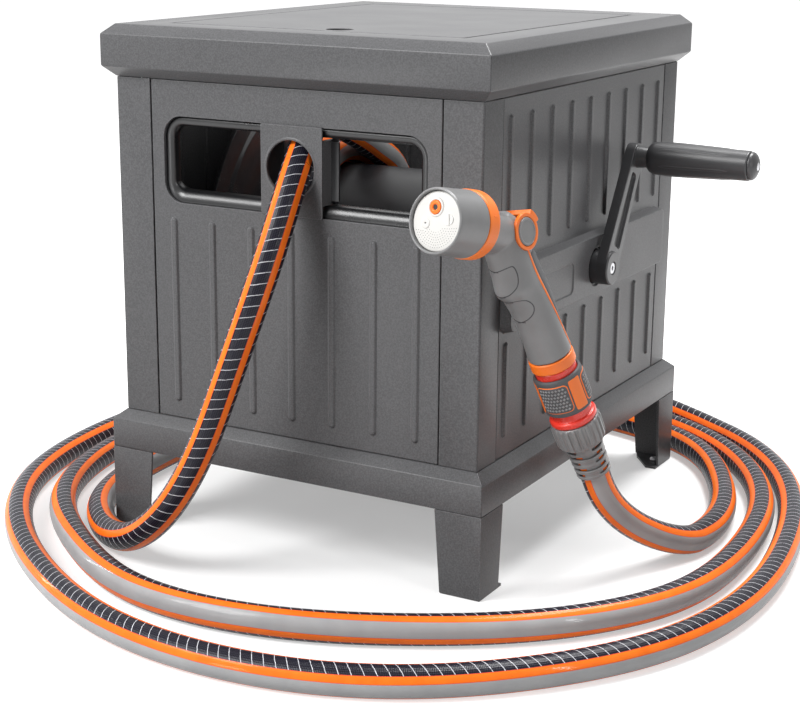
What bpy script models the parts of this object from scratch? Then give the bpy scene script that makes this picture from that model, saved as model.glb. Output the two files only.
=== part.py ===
"""Garden hose reel in a four-legged cabinet, with its crank, hose guide, hose and spray gun.

The cabinet's own frame has its origin under the middle of the cabinet, on the floor. Its front
faces -Y and the crank is on the +X side. An empty carries that frame, shifted along X so that the
reel without its hose and gun has the origin at the bottom centre of its bounding box.
"""
import math

import bmesh
import bpy
import numpy as np
from mathutils import Matrix, Vector

MM = 0.001
GAP = 0.3 * MM
TRIM = 0.1 * MM
COLLECTION = "hose_reel_cabinet"
LEFT, RIGHT = -1, 1
FRONT, BACK = -1, 1

# Cabinet
CABINET_WIDTH = 380 * MM
CABINET_DEPTH = 446 * MM
HALF_X = CABINET_WIDTH / 2
HALF_Y = CABINET_DEPTH / 2
BAND_OVERHANG = 10 * MM
SHEET = 1.5 * MM
BAND_SHEET = 2 * MM
RETURN_WIDTH = 18 * MM
CHAMFER_HEIGHT = 9 * MM
PLINTH_BOTTOM = 78 * MM
PLINTH_BAND_TOP = PLINTH_BOTTOM + 28 * MM
WALL_BOTTOM = PLINTH_BAND_TOP + CHAMFER_HEIGHT
WALL_HEIGHT = 319 * MM
WALL_TOP = WALL_BOTTOM + WALL_HEIGHT
LID_BAND_BOTTOM = WALL_TOP + 10 * MM
LID_BAND_TOP = LID_BAND_BOTTOM + 29 * MM
LID_TOP = LID_BAND_TOP + CHAMFER_HEIGHT
POST_FRONT_WIDTH = 38 * MM
POST_SIDE_WIDTH = 36 * MM
PANEL_SEAM = 0.8 * MM
PANEL_RECESS = 0.4 * MM
PANEL_FLANGE = 10 * MM
PANEL_HALF_X = HALF_X - POST_FRONT_WIDTH - PANEL_SEAM
PANEL_HALF_Y = HALF_Y - POST_SIDE_WIDTH - PANEL_SEAM

# Window in the front panel, with a rolled lip
WINDOW_HALF_WIDTH = PANEL_HALF_X - 13.2 * MM
WINDOW_SPAN = (WALL_TOP - 112.5 * MM, WALL_TOP - 32 * MM)
WINDOW_CORNER = 20 * MM
LIP_RADIUS = 9 * MM
LIP_DEPTH = 2 * MM

# Reel's axis, and the raised band across each side panel that holds its bearing
REEL_Y = 6 * MM
REEL_Z = 257 * MM
SIDE_BAND_SPAN = (REEL_Z - 26 * MM, REEL_Z + 30 * MM)
SIDE_BAND_HEIGHT = 9 * MM
SIDE_BAND_SLOPE = 3 * MM
BAND_FACE_X = HALF_X - PANEL_RECESS + SIDE_BAND_HEIGHT
BAND_INNER_X = BAND_FACE_X - SHEET
HUB_HOLE_RADIUS = 18.5 * MM

# Pressed ribs on the panels
RIB_WIDTH = 8.5 * MM
RIB_HEIGHT = 1.8 * MM
RIB_ROOT = 0.7 * MM
RIB_PITCH = 42.6 * MM
RIB_EDGE = 14 * MM
SIDE_RIB_SHIFT = -1 * MM
FRONT_RIB_SPAN = (WALL_BOTTOM + 16 * MM, WINDOW_SPAN[0] - 13 * MM)
SIDE_UPPER_RIB_SPAN = (SIDE_BAND_SPAN[1] + 13 * MM, WALL_TOP - 14.5 * MM)
SIDE_LOWER_RIB_SPAN = (WALL_BOTTOM + 17 * MM, SIDE_BAND_SPAN[0] - 10.5 * MM)
BACK_RIB_SPAN = (WALL_BOTTOM + 16 * MM, WALL_TOP - 16 * MM)

# Lid
HATCH_FRONT = -HALF_Y + 37 * MM
HATCH_BACK = HALF_Y - 44 * MM
HATCH_HALF_WIDTH = HALF_X - 40 * MM
HATCH_GAP = 3 * MM
HATCH_THICKNESS = 2 * MM
FINGER_HOLE = (16 * MM, HATCH_FRONT + 21 * MM)
FINGER_HOLE_RADIUS = 12.5 * MM
LEDGE_OUTSIDE = 15 * MM
LEDGE_FRONT = 19 * MM
LEDGE_INSIDE = 5 * MM
LEDGE_THICKNESS = 2.2 * MM
HINGE_Y = HATCH_BACK - 7 * MM
HINGE_Z = LID_TOP - 7 * MM
HINGE_ROD_RADIUS = 1.8 * MM
HINGE_EYE_RADIUS = 3.2 * MM
HINGE_PLATE = 3 * MM
HINGE_LUG_X = HATCH_HALF_WIDTH - 12.5 * MM
HINGE_EAR_X = HINGE_LUG_X - HINGE_PLATE - 2 * MM

# Legs
LEG_FRONT_WIDTHS = (46 * MM, 40 * MM)
LEG_SIDE_WIDTHS = (43 * MM, 37 * MM)
LEG_THICKNESS = 2.5 * MM
FOOT_PLATE = 2.5 * MM
FOOT_PLATE_REACH = 7 * MM
FOOT_SCREW_INSET = (11 * MM, 21 * MM)
FOOT_SCREW_SHANK = 2.5 * MM
FOOT_SCREW_HEAD = 4.5 * MM

# Hose guide in the window
GUIDE_HALF_WIDTH = 32 * MM
GUIDE_CENTRE_X = 2 * MM
GUIDE_SHEET = 1.5 * MM
GUIDE_HOLE = (1.4 * MM, WINDOW_SPAN[1] - 37.5 * MM)
GUIDE_HOLE_RADIUS = 24.5 * MM
RAIL_Y = -HALF_Y + 18 * MM
RAIL_LEVELS = (WINDOW_SPAN[0] - 9.5 * MM, WINDOW_SPAN[1] + 10 * MM)
RAIL_RADIUS = 4 * MM
BRACKET_OUTER_X = PANEL_HALF_X - SHEET - GAP
BRACKET_SHEET = 3 * MM
RAIL_HALF_LENGTH = BRACKET_OUTER_X - 0.4 * MM
CHEEK = 3 * MM

# Reel
CORE_RADIUS = 76.5 * MM
CORE_WALL = 3 * MM
FLANGE_RADIUS = 168 * MM
FLANGE_SHEET = 2 * MM
FLANGE_STEP_RADIUS = 148 * MM
FLANGE_STEP = 3 * MM
FLANGE_INNER_X = HALF_X - 60.5 * MM
AXLE_RADIUS = 10 * MM
WATER_BORE = 6 * MM
WATER_BORE_END = -100 * MM
ELBOW_X = -108 * MM
ELBOW_RADIUS = 7 * MM
BEARING_RADIUS = 24 * MM
BEARING_START_X = HALF_X - 10 * MM
AXLE_END = BEARING_START_X + 1.7 * MM
SEAL_LENGTH = 3.8 * MM
SWIVEL_END_X = HALF_X + 25 * MM
INLET_REACH = SWIVEL_END_X + 17 * MM

# Crank
HUB_RADIUS = 16.3 * MM
ARM_BACK_X = BAND_FACE_X + 4.9 * MM
ARM_THICKNESS = 10 * MM
HUB_FACE_X = ARM_BACK_X + ARM_THICKNESS + 2.1 * MM
ARM_LENGTH = 114.9 * MM
ARM_TIP_RADIUS = 13 * MM
ARM_LEAN = math.radians(30.5)
GRIP_START_X = ARM_BACK_X + ARM_THICKNESS + 11.5 * MM
GRIP_LENGTH = 100 * MM
GRIP_END_X = GRIP_START_X + GRIP_LENGTH + 8 * MM
GRIP_RADIUS = 16 * MM
PIN_RADIUS = 5 * MM
PIN_HEAD_RADIUS = 8 * MM
PIN_HEAD_DEPTH = 8 * MM
CRANK_SCREW_RADIUS = 5.6 * MM

# Hose
HOSE_DIAMETER = 27 * MM
HOSE_RADIUS = HOSE_DIAMETER / 2
WOUND_TURNS = 2
WOUND_STEPS = 24
WOUND_PITCH = 28 * MM
WOUND_EXIT_X = -57.5 * MM
WOUND_EXIT_ANGLE = 24

# Spray gun: its own frame has X across it, Y to its back and Z up, with the origin at the lever's
# pivot.
GUN_PIVOT = (HALF_X + 20.8 * MM, -HALF_Y + 11.5 * MM, 326.3 * MM)
GUN_TURN = (math.radians(-7.9), math.radians(-9.84), math.radians(-9.44))
HANDLE_TILT = math.radians(30)
HANDLE_START_Y = -8.6 * MM
HEAD_CENTRE = (0, -58.5 * MM, 6.6 * MM)
HEAD_TILT = math.radians(-3.7)
INLET_RING_AT = 120.5 * MM
CONNECTOR_AT = 131.4 * MM
COLLAR_AT = 137.1 * MM
COLLAR_END = 173.9 * MM
NUT_AT = 187.6 * MM
NUT_END = 212.4 * MM
SLEEVE_END = 243.6 * MM
INLET_BORE = 5 * MM
SPIGOT_RADIUS = 9 * MM
SPIGOT_END = CONNECTOR_AT + 16 * MM
COUPLING_RADIUS = 18.4 * MM
COLLAR_RADIUS = 22 * MM
HOSE_SEAT_AT = NUT_END + 3 * MM
GUN_HALF_CUT = 30 * MM
LEVER_INSIDE = 13.8 * MM
LEVER_OUTSIDE = 17.3 * MM
LEVER_RING = 15.8 * MM
LEVER_BRIDGE = (15.2 * MM, 19.6 * MM)
LEVER_ANGLES = (30, 72)
LEVER_TRAVEL = 35
LEVER_CLEARANCE = 6
PIVOT_DISC = 12 * MM
PIVOT_SHAFT = 5 * MM
NOZZLE_OFFSET = 11 * MM
NOZZLE_RADIUS = 5.7 * MM

# The gun's sections in millimetres. Handle: distance down its axis, then the ellipse's middle and
# its two half widths. Neck: distance along the head's axis, and the same.
HANDLE_SECTIONS = [
    (120.2, 0, 19.2, 19.8), (112, 0, 18.6, 19.2), (98, 0.6, 17.6, 18.6), (84, 1.2, 16.8, 18.8),
    (68, 0.8, 16.6, 20.6), (58, -1.2, 16.6, 23.4), (50, -2.2, 16.6, 24.6), (43, -1.0, 16.4, 22.4),
    (30, -0.4, 16.2, 21.4), (14, -1.5, 16.0, 20.5), (0, -2.0, 15.4, 19.0), (-10, -2.0, 13.5, 15.5),
    (-16, -2.0, 9.0, 10.0),
]
NECK_SECTIONS = [
    (6.4, 0, 12, 12), (-6.8, 0, 12, 12), (-6.8, 0, 22, 22), (-9, 0, 22, 22), (-11, -1.5, 17.6, 18.6),
    (-30, -4.0, 16.6, 18.0), (-50, -5.5, 15.6, 16.6), (-60, -6.0, 11.0, 12.5), (-65, -6.0, 6.0, 7.0),
]
# The head's outlines in millimetres: radius, and distance along its axis.
HEAD_SHELL = [
    (0, 38), (24.6, 38), (24.6, 42.4), (25.2, 43), (26.2, 42.8), (26.9, 41.6), (27.2, 28), (27.6, 14),
    (28, 6.8), (0, 6.8),
]
HEAD_FACE = [(0, 41.2), (12, 41), (20, 40.5), (23.8, 40), (24.3, 39.3), (24.3, 38.3), (0, 38.3)]
HEAD_RING = [(28.2, 6.5), (28.6, 5.5), (28.6, -5.5), (28.2, -6.5), (12.3, -6.5), (12.3, 6.5)]

# The hose's own route from the reel to the gun, in millimetres in the cabinet's frame: over the
# reel, through the guide hole, down to the floor, three rounds about the cabinet and up to the gun.
ROUTE_TO_GUIDE = [(-55, -63, 387), (-32, -126, 408), (-6, -178, 397)]
ROUTE_THROUGH_GUIDE = [
    (8, -224, 366), (10, -269, 300), (-3, -291, 235), (-22, -301, 174), (-42, -314, 113),
    (-71, -323, 62),
]
ROUTE_FIRST_ROUND = [
    (-118, -313, 26), (-176, -279, 13.5), (-218, -233, 13.5), (-250, -150, 13.5),
    (-260, -38, 13.5), (-257, 70, 13.5), (-244, 154, 14), (-233, 208, 20), (-211, 254, 31),
    (-171, 289, 41), (-110, 327, 45), (-28, 356, 43), (40, 365, 34), (99, 360, 26),
    (219, 317, 14), (312, 231, 13.5), (371, 117, 13.5), (402, -8, 13.5), (411, -134, 13.5),
    (384, -258, 13.5), (313, -363, 13.5), (212, -440, 13.5), (90, -471, 13.5),
]
ROUTE_SECOND_ROUND = [
    (-35, -455, 13.5), (-149, -399, 13.5), (-248, -319, 13.5), (-323, -217, 13.5),
    (-360, -96, 13.5), (-365, 30, 13.5), (-343, 155, 13.5), (-280, 265, 13.5),
    (-172, 330, 13.5), (-47, 350, 13.5), (79, 337, 13.5), (200, 292, 13.5), (292, 206, 13.5),
    (348, 92, 13.5), (368, -35, 13.5), (356, -161, 13.5), (289, -268, 13.5),
    (187, -343, 13.5), (69, -389, 13.5), (-56, -387, 13.5),
]
ROUTE_THIRD_ROUND = [
    (-168, -327, 13.5), (-260, -240, 13.5), (-312, -125, 13.5), (-325, 1, 13.5),
    (-311, 128, 13.5), (-258, 242, 13.5), (-147, 309, 13.5), (-19, 317, 13.5),
    (108, 297, 13.5), (222, 241, 13.5), (290, 139, 13.5), (317, 62, 13.5),
]
ROUTE_RISE = [(318, -31, 15), (296, -77, 33)]
FREE_SPACING = 2.4 * HOSE_DIAMETER
FLOOR_SPACING = 3.3 * HOSE_DIAMETER
END_RUN = 2 * MM
TUBE_GAP = 0.6 * MM

SHIFT_X = (INLET_REACH - GRIP_END_X) / 2

COLOURS = {
    "powder_coat": ((0.115, 0.115, 0.12), 0.55, 0.3),
    "black_plastic": ((0.03, 0.03, 0.034), 0.5, 0.0),
    "zinc": ((0.6, 0.6, 0.62), 0.35, 1.0),
    "brass": ((0.75, 0.55, 0.25), 0.35, 1.0),
    "gun_grey": ((0.16, 0.16, 0.165), 0.5, 0.0),
    "dark_insert": ((0.06, 0.06, 0.065), 0.6, 0.0),
    "orange": ((0.9, 0.2, 0.03), 0.4, 0.0),
    "red": ((0.8, 0.06, 0.03), 0.4, 0.0),
    "white": ((0.85, 0.84, 0.82), 0.4, 0.0),
    "hose": ((0.05, 0.05, 0.07), 0.35, 0.0),
    "seal": ((0.01, 0.01, 0.01), 0.7, 0.0),
}


def clear_scene():
    for old in list(bpy.data.objects):
        bpy.data.objects.remove(old, do_unlink=True)


def make_collection(name):
    collection = bpy.data.collections.new(name)
    bpy.context.scene.collection.children.link(collection)
    return collection


clear_scene()
PARTS = make_collection(COLLECTION)
CUTTERS = make_collection("cutters")


def material(kind):
    """The Principled material of a kind of finish, made once."""
    found = bpy.data.materials.get(kind)
    if found:
        return found
    colour, roughness, metallic = COLOURS[kind]
    made = bpy.data.materials.new(kind)
    made.use_nodes = True
    shader = made.node_tree.nodes["Principled BSDF"]
    shader.inputs["Base Color"].default_value = (*colour, 1)
    shader.inputs["Roughness"].default_value = roughness
    shader.inputs["Metallic"].default_value = metallic
    made.diffuse_color = (*colour, 1)
    return made


def empty(name, parent=None, location=(0, 0, 0), rotation=(0, 0, 0)):
    """A frame that carries other objects."""
    made = bpy.data.objects.new(name, None)
    made.empty_display_size = 20 * MM
    PARTS.objects.link(made)
    made.parent = parent
    made.location = location
    made.rotation_euler = rotation
    return made


def add(name, mesh, kind, parent, location=(0, 0, 0), rotation=(0, 0, 0)):
    """A sub-part from a mesh or a curve, in its material."""
    made = bpy.data.objects.new(name, mesh)
    mesh.materials.append(material(kind))
    PARTS.objects.link(made)
    made.parent = parent
    made.location = location
    made.rotation_euler = rotation
    return made


def as_tool(obj):
    """Makes an object a guide for a Boolean, which is no sub-part itself."""
    PARTS.objects.unlink(obj)
    CUTTERS.objects.link(obj)
    obj.hide_render = True
    obj.display_type = "WIRE"
    return obj


def boolean(obj, tool, operation):
    step = obj.modifiers.new(operation.title(), "BOOLEAN")
    step.operation = operation
    step.solver = "EXACT"
    step.object = as_tool(tool)
    return obj


def box_mesh(name, spans):
    """One mesh of separate boxes, each given as ((x0, x1), (y0, y1), (z0, z1))."""
    shape = bmesh.new()
    for (x0, x1), (y0, y1), (z0, z1) in spans:
        centre = Vector(((x0 + x1) / 2, (y0 + y1) / 2, (z0 + z1) / 2))
        size = Matrix.Diagonal((abs(x1 - x0), abs(y1 - y0), abs(z1 - z0), 1))
        bmesh.ops.create_cube(shape, size=1, matrix=Matrix.Translation(centre) @ size)
    mesh = bpy.data.meshes.new(name)
    shape.to_mesh(mesh)
    shape.free()
    return mesh


def box(name, kind, parent, x, y, z):
    return add(name, box_mesh(name, [(x, y, z)]), kind, parent)


def cylinders(name, parent, radius, places, kind):
    """Separate cylinders along local X, each given as (x0, x1, z), as one tool."""
    shape = bmesh.new()
    turn = Matrix.Rotation(math.radians(90), 4, "Y")
    for x0, x1, z in places:
        bmesh.ops.create_cone(
            shape, cap_ends=True, segments=16, radius1=radius, radius2=radius, depth=abs(x1 - x0),
            matrix=Matrix.Translation(((x0 + x1) / 2, 0, z)) @ turn,
        )
    mesh = bpy.data.meshes.new(name)
    shape.to_mesh(mesh)
    shape.free()
    return add(name, mesh, kind, parent)


def turned(name, kind, parent, profile, location=(0, 0, 0), rotation=(0, 0, 0), steps=32, ring=False):
    """A shape turned about local Z from (radius, height) points given down its outer side.

    A ring's profile goes on up its bore, and is closed.
    """
    count = len(profile)
    edges = [(i, i + 1) for i in range(count - 1)]
    if ring:
        edges.append((count - 1, 0))
    mesh = bpy.data.meshes.new(name)
    mesh.from_pydata([(radius, 0, height) for radius, height in profile], edges, [])
    made = add(name, mesh, kind, parent, location, rotation)
    turn = made.modifiers.new("Turn", "SCREW")
    turn.axis = "Z"
    turn.steps = steps
    turn.render_steps = steps
    turn.use_merge_vertices = True
    turn.merge_threshold = 0.00001
    turn.use_smooth_shade = True
    return made


def rod(name, kind, parent, start, end, radius, steps=14):
    """A straight round bar between two points."""
    start, end = Vector(start), Vector(end)
    along = end - start
    profile = [(0, along.length), (radius, along.length), (radius, 0), (0, 0)]
    facing = along.to_track_quat("Z", "Y").to_euler()
    return turned(name, kind, parent, profile, start, facing, steps)


def mesh_from_curve(obj):
    """Turns a curve object into a mesh object in the same place, with its caps welded."""
    bpy.context.view_layer.update()
    graph = bpy.context.evaluated_depsgraph_get()
    mesh = bpy.data.meshes.new_from_object(obj.evaluated_get(graph))
    shape = bmesh.new()
    shape.from_mesh(mesh)
    bmesh.ops.remove_doubles(shape, verts=shape.verts, dist=0.00001)
    bmesh.ops.recalc_face_normals(shape, faces=shape.faces)
    shape.to_mesh(mesh)
    shape.free()
    name, place, parent = obj.name, obj.matrix_local.copy(), obj.parent
    bpy.data.objects.remove(obj, do_unlink=True)
    mesh.name = name
    made = bpy.data.objects.new(name, mesh)
    PARTS.objects.link(made)
    made.parent = parent
    made.matrix_local = place
    return made


def plate(name, kind, parent, outline, thickness, location=(0, 0, 0), rotation=(0, 0, 0)):
    """A flat outline in local X and Y, with its thickness halved on both sides of the plane."""
    curve = bpy.data.curves.new(name, "CURVE")
    curve.dimensions = "2D"
    curve.fill_mode = "BOTH"
    curve.extrude = thickness / 2
    spline = curve.splines.new("POLY")
    spline.points.add(len(outline) - 1)
    for point, (x, y) in zip(spline.points, outline):
        point.co = (x, y, 0, 1)
    spline.use_cyclic_u = True
    return mesh_from_curve(add(name, curve, kind, parent, location, rotation))


def loft(name, kind, parent, rings, closed=False, location=(0, 0, 0), rotation=(0, 0, 0)):
    """A skin through rings of as many points each; closed joins the last ring to the first."""
    shape = bmesh.new()
    rows = [[shape.verts.new(point) for point in ring] for ring in rings]
    pairs = list(zip(rows, rows[1:]))
    if closed:
        pairs.append((rows[-1], rows[0]))
    for row, following in pairs:
        for i in range(len(row)):
            j = (i + 1) % len(row)
            shape.faces.new((row[i], row[j], following[j], following[i]))
    if not closed:
        shape.faces.new(rows[0])
        shape.faces.new(rows[-1])
    bmesh.ops.recalc_face_normals(shape, faces=shape.faces)
    mesh = bpy.data.meshes.new(name)
    shape.to_mesh(mesh)
    shape.free()
    return add(name, mesh, kind, parent, location, rotation)


def arc(centre, radius, start, end, steps):
    """Points of an arc in a plane, from one angle to another in degrees."""
    turn = [math.radians(start + (end - start) * i / steps) for i in range(steps + 1)]
    return [(centre[0] + radius * math.cos(a), centre[1] + radius * math.sin(a)) for a in turn]


def rounded(u0, u1, v0, v1, radius, steps=5):
    """The points of a rectangle with round corners, counter-clockwise from its lower right."""
    corners = [
        ((u1 - radius, v0 + radius), -90),
        ((u1 - radius, v1 - radius), 0),
        ((u0 + radius, v1 - radius), 90),
        ((u0 + radius, v0 + radius), 180),
    ]
    return [
        point for centre, start in corners for point in arc(centre, radius, start, start + 90, steps)
    ]


def circle_in(centre, radius, steps=5):
    """A circle as a round-cornered square, so that it has as many points as one."""
    (u, v), r = centre, radius
    return rounded(u - r, u + r, v - r, v + r, 0.98 * r, steps)


def tube(name, kind, parent, points, radius, resolution=2):
    """A round tube along points, with filled ends."""
    curve = bpy.data.curves.new(name, "CURVE")
    curve.dimensions = "3D"
    curve.bevel_depth = radius
    curve.bevel_resolution = resolution
    curve.use_fill_caps = True
    spline = curve.splines.new("POLY")
    spline.points.add(len(points) - 1)
    for point, place in zip(spline.points, points):
        point.co = (*place, 1)
    return add(name, curve, kind, parent)


# Rotations that lay a flat outline in another plane, and that point a turned shape along X.
IN_YZ = (math.radians(90), 0, math.radians(90))
ALONG_X = {RIGHT: (0, math.radians(90), 0), LEFT: (0, math.radians(-90), 0)}


def rectangle(half_x, y0, y1, z):
    return [(-half_x, y0, z), (half_x, y0, z), (half_x, y1, z), (-half_x, y1, z)]


def body_ring(overhang, z):
    """The cabinet's outline, moved out by an overhang."""
    return rectangle(HALF_X + overhang, -HALF_Y - overhang, HALF_Y + overhang, z)


def plinth_frame(cabinet):
    over, sheet, top, bottom = BAND_OVERHANG, BAND_SHEET, WALL_BOTTOM - GAP, PLINTH_BOTTOM
    bend = 0.4 * sheet
    flange = -12 * MM
    section = [
        (over, bottom), (over, PLINTH_BAND_TOP), (0, top), (-RETURN_WIDTH, top),
        (-RETURN_WIDTH, top - sheet), (-bend, top - sheet), (over - sheet, PLINTH_BAND_TOP - bend),
        (over - sheet, bottom + sheet), (flange, bottom + sheet), (flange, bottom),
    ]
    loft("plinth_frame", "powder_coat", cabinet, [body_ring(o, z) for o, z in section], closed=True)


def corner_posts(cabinet):
    height, edge = WALL_TOP - WALL_BOTTOM, 1.2 * MM
    for side, side_name in ((LEFT, "left"), (RIGHT, "right")):
        for end, end_name in ((FRONT, "front"), (BACK, "back")):
            outline = [
                (HALF_X - edge, HALF_Y), (HALF_X - POST_FRONT_WIDTH, HALF_Y),
                (HALF_X - POST_FRONT_WIDTH, HALF_Y - SHEET), (HALF_X - SHEET, HALF_Y - SHEET),
                (HALF_X - SHEET, HALF_Y - POST_SIDE_WIDTH), (HALF_X, HALF_Y - POST_SIDE_WIDTH),
                (HALF_X, HALF_Y - edge),
            ]
            outline = [(side * x, end * y) for x, y in outline]
            middle = (0, 0, (WALL_BOTTOM + WALL_TOP) / 2)
            plate(f"corner_post_{end_name}_{side_name}", "powder_coat", cabinet, outline, height, middle)


def front_place(u, v, depth):
    return (u, -HALF_Y + depth, v)


def back_place(u, v, depth):
    return (u, HALF_Y - depth, v)


def left_place(u, v, depth):
    return (-HALF_X + depth, u, v)


def right_place(u, v, depth):
    return (HALF_X - depth, u, v)


def inset(spans, by, corner):
    """A round-cornered rectangle drawn in by a distance, its corners drawn in with it."""
    (u0, u1), (v0, v1) = spans
    return rounded(u0 + by, u1 - by, v0 + by, v1 - by, corner)


def rib_centres(half_width, shift=0):
    """Places of as many ribs as fit in a panel's width, evenly about a shifted middle."""
    reach = int((half_width - RIB_EDGE - abs(shift)) / RIB_PITCH)
    return [shift + RIB_PITCH * i for i in range(-reach, reach + 1)]


def ribs(name, cabinet, place, centres, spans):
    """The pressed ribs of one panel, as one tool that is joined to it."""
    half, out, root = RIB_WIDTH / 2, PANEL_RECESS - RIB_HEIGHT, PANEL_RECESS + RIB_ROOT
    boxes = []
    for centre in centres:
        for low, high in spans:
            a, b = place(centre - half, low, out), place(centre + half, high, root)
            boxes.append(tuple(zip(a, b)))
    return add(f"{name}_ribs", box_mesh(f"{name}_ribs", boxes), "powder_coat", cabinet)


def panel_edges(half_width, corner=1.2 * MM):
    """The rings of a panel's back, its folded flange and its edge, from the inside to the face."""
    spans = ((-half_width, half_width), (WALL_BOTTOM, WALL_TOP))
    inner = inset(spans, SHEET, corner / 2)
    outer = inset(spans, 0, corner)
    depth = PANEL_RECESS + PANEL_FLANGE
    return [(inner, PANEL_RECESS + SHEET), (inner, depth), (outer, depth), (outer, PANEL_RECESS)]


def panel_from(name, cabinet, place, sections, closed):
    rings = [[place(u, v, depth) for u, v in outline] for outline, depth in sections]
    return loft(name, "powder_coat", cabinet, rings, closed)


def front_panel(cabinet):
    window = ((-WINDOW_HALF_WIDTH, WINDOW_HALF_WIDTH), WINDOW_SPAN)
    sections = panel_edges(PANEL_HALF_X)

    def lip(radius, turn):
        by = radius * math.sin(math.radians(turn))
        depth = PANEL_RECESS + LIP_RADIUS - radius * math.cos(math.radians(turn))
        return (inset(window, by, WINDOW_CORNER - by), depth)

    inner_radius = LIP_RADIUS - SHEET
    end = PANEL_RECESS + LIP_RADIUS + LIP_DEPTH
    sections += [lip(LIP_RADIUS, turn) for turn in (0, 30, 60, 90)]
    sections.append((inset(window, LIP_RADIUS, WINDOW_CORNER - LIP_RADIUS), end))
    sections.append((inset(window, inner_radius, WINDOW_CORNER - inner_radius), end))
    sections += [lip(inner_radius, turn) for turn in (90, 60, 30, 0)]
    panel = panel_from("front_panel", cabinet, front_place, sections, closed=True)
    tool = ribs("front_panel", cabinet, front_place, rib_centres(PANEL_HALF_X), [FRONT_RIB_SPAN])
    boolean(panel, tool, "UNION")


def side_panels(cabinet):
    half = PANEL_HALF_Y
    low, high = SIDE_BAND_SPAN
    slope, edge, bend = SIDE_BAND_SLOPE, 0.8 * MM, 1.2 * MM
    face, raised = PANEL_RECESS, PANEL_RECESS - SIDE_BAND_HEIGHT
    foot = ((-half + edge, half - edge), (low - slope, high + slope))
    crest = ((-half + edge + slope, half - edge - slope), (low, high))
    corner = 8 * MM
    hole_ring = circle_in((REEL_Y, REEL_Z), HUB_HOLE_RADIUS)
    sections = panel_edges(half) + [
        (inset(foot, 0, corner), face),
        (inset(crest, 0, corner), raised),
        (hole_ring, raised),
        (hole_ring, raised + SHEET),
        (inset(crest, bend, corner - bend), raised + SHEET),
        (inset(foot, SHEET, corner - SHEET), face + SHEET),
    ]
    centres = rib_centres(half, SIDE_RIB_SHIFT)
    for name, place in (("left_panel", left_place), ("right_panel", right_place)):
        panel = panel_from(name, cabinet, place, sections, closed=True)
        tool = ribs(name, cabinet, place, centres, [SIDE_LOWER_RIB_SPAN, SIDE_UPPER_RIB_SPAN])
        boolean(panel, tool, "UNION")


def back_panel(cabinet):
    panel = panel_from("back_panel", cabinet, back_place, panel_edges(PANEL_HALF_X), closed=False)
    tool = ribs("back_panel", cabinet, back_place, rib_centres(PANEL_HALF_X), [BACK_RIB_SPAN])
    boolean(panel, tool, "UNION")


def lid_crown(cabinet):
    sheet, over = BAND_SHEET, BAND_OVERHANG
    inner_over, bend = over - sheet, 0.4 * sheet
    opening_half = HATCH_HALF_WIDTH + HATCH_GAP
    front, back = HATCH_FRONT - HATCH_GAP, HATCH_BACK + HATCH_GAP + GAP
    bottom = WALL_TOP + GAP
    rings = [
        body_ring(0, bottom), body_ring(over, LID_BAND_BOTTOM), body_ring(over, LID_BAND_TOP),
        body_ring(0, LID_TOP),
        rectangle(opening_half, front, back, LID_TOP),
        rectangle(opening_half, front, back, LID_TOP - sheet),
        body_ring(-bend, LID_TOP - sheet), body_ring(inner_over, LID_BAND_TOP - bend),
        body_ring(inner_over, LID_BAND_BOTTOM + bend), body_ring(-bend, bottom + sheet),
        body_ring(-RETURN_WIDTH, bottom + sheet), body_ring(-RETURN_WIDTH, bottom),
    ]
    loft("lid_crown", "powder_coat", cabinet, rings, closed=True)


def hatch_ledge(cabinet):
    """The U-shaped strip under the lid's opening that the closed hatch lies on."""
    outer, inner = HATCH_HALF_WIDTH + LEDGE_OUTSIDE, HATCH_HALF_WIDTH - LEDGE_INSIDE
    front, inside, back = HATCH_FRONT - LEDGE_FRONT, HATCH_FRONT + LEDGE_INSIDE, HINGE_Y - 12 * MM
    outline = [
        (-outer, front), (outer, front), (outer, back), (inner, back),
        (inner, inside), (-inner, inside), (-inner, back), (-outer, back),
    ]
    middle = LID_TOP - max(HATCH_THICKNESS, BAND_SHEET) - GAP - LEDGE_THICKNESS / 2
    plate("hatch_ledge", "powder_coat", cabinet, outline, LEDGE_THICKNESS, (0, 0, middle))


def eye_outline(top):
    """A hinge eye about the local origin, with straight cheeks up to a level."""
    eye = arc((0, 0), HINGE_EYE_RADIUS, 180, 360, 8)
    return eye + [(HINGE_EYE_RADIUS, top), (-HINGE_EYE_RADIUS, top)]


def through(radius, half):
    """The profile of a round cutter that reaches as far on both sides of its origin."""
    return [(0, half), (radius, half), (radius, -half), (0, -half)]


def hinge_bore(name, parent, location=(0, 0, 0)):
    profile = through(HINGE_ROD_RADIUS + GAP, HINGE_LUG_X + HINGE_PLATE)
    return turned(name, "zinc", parent, profile, location, ALONG_X[RIGHT], steps=12)


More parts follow.
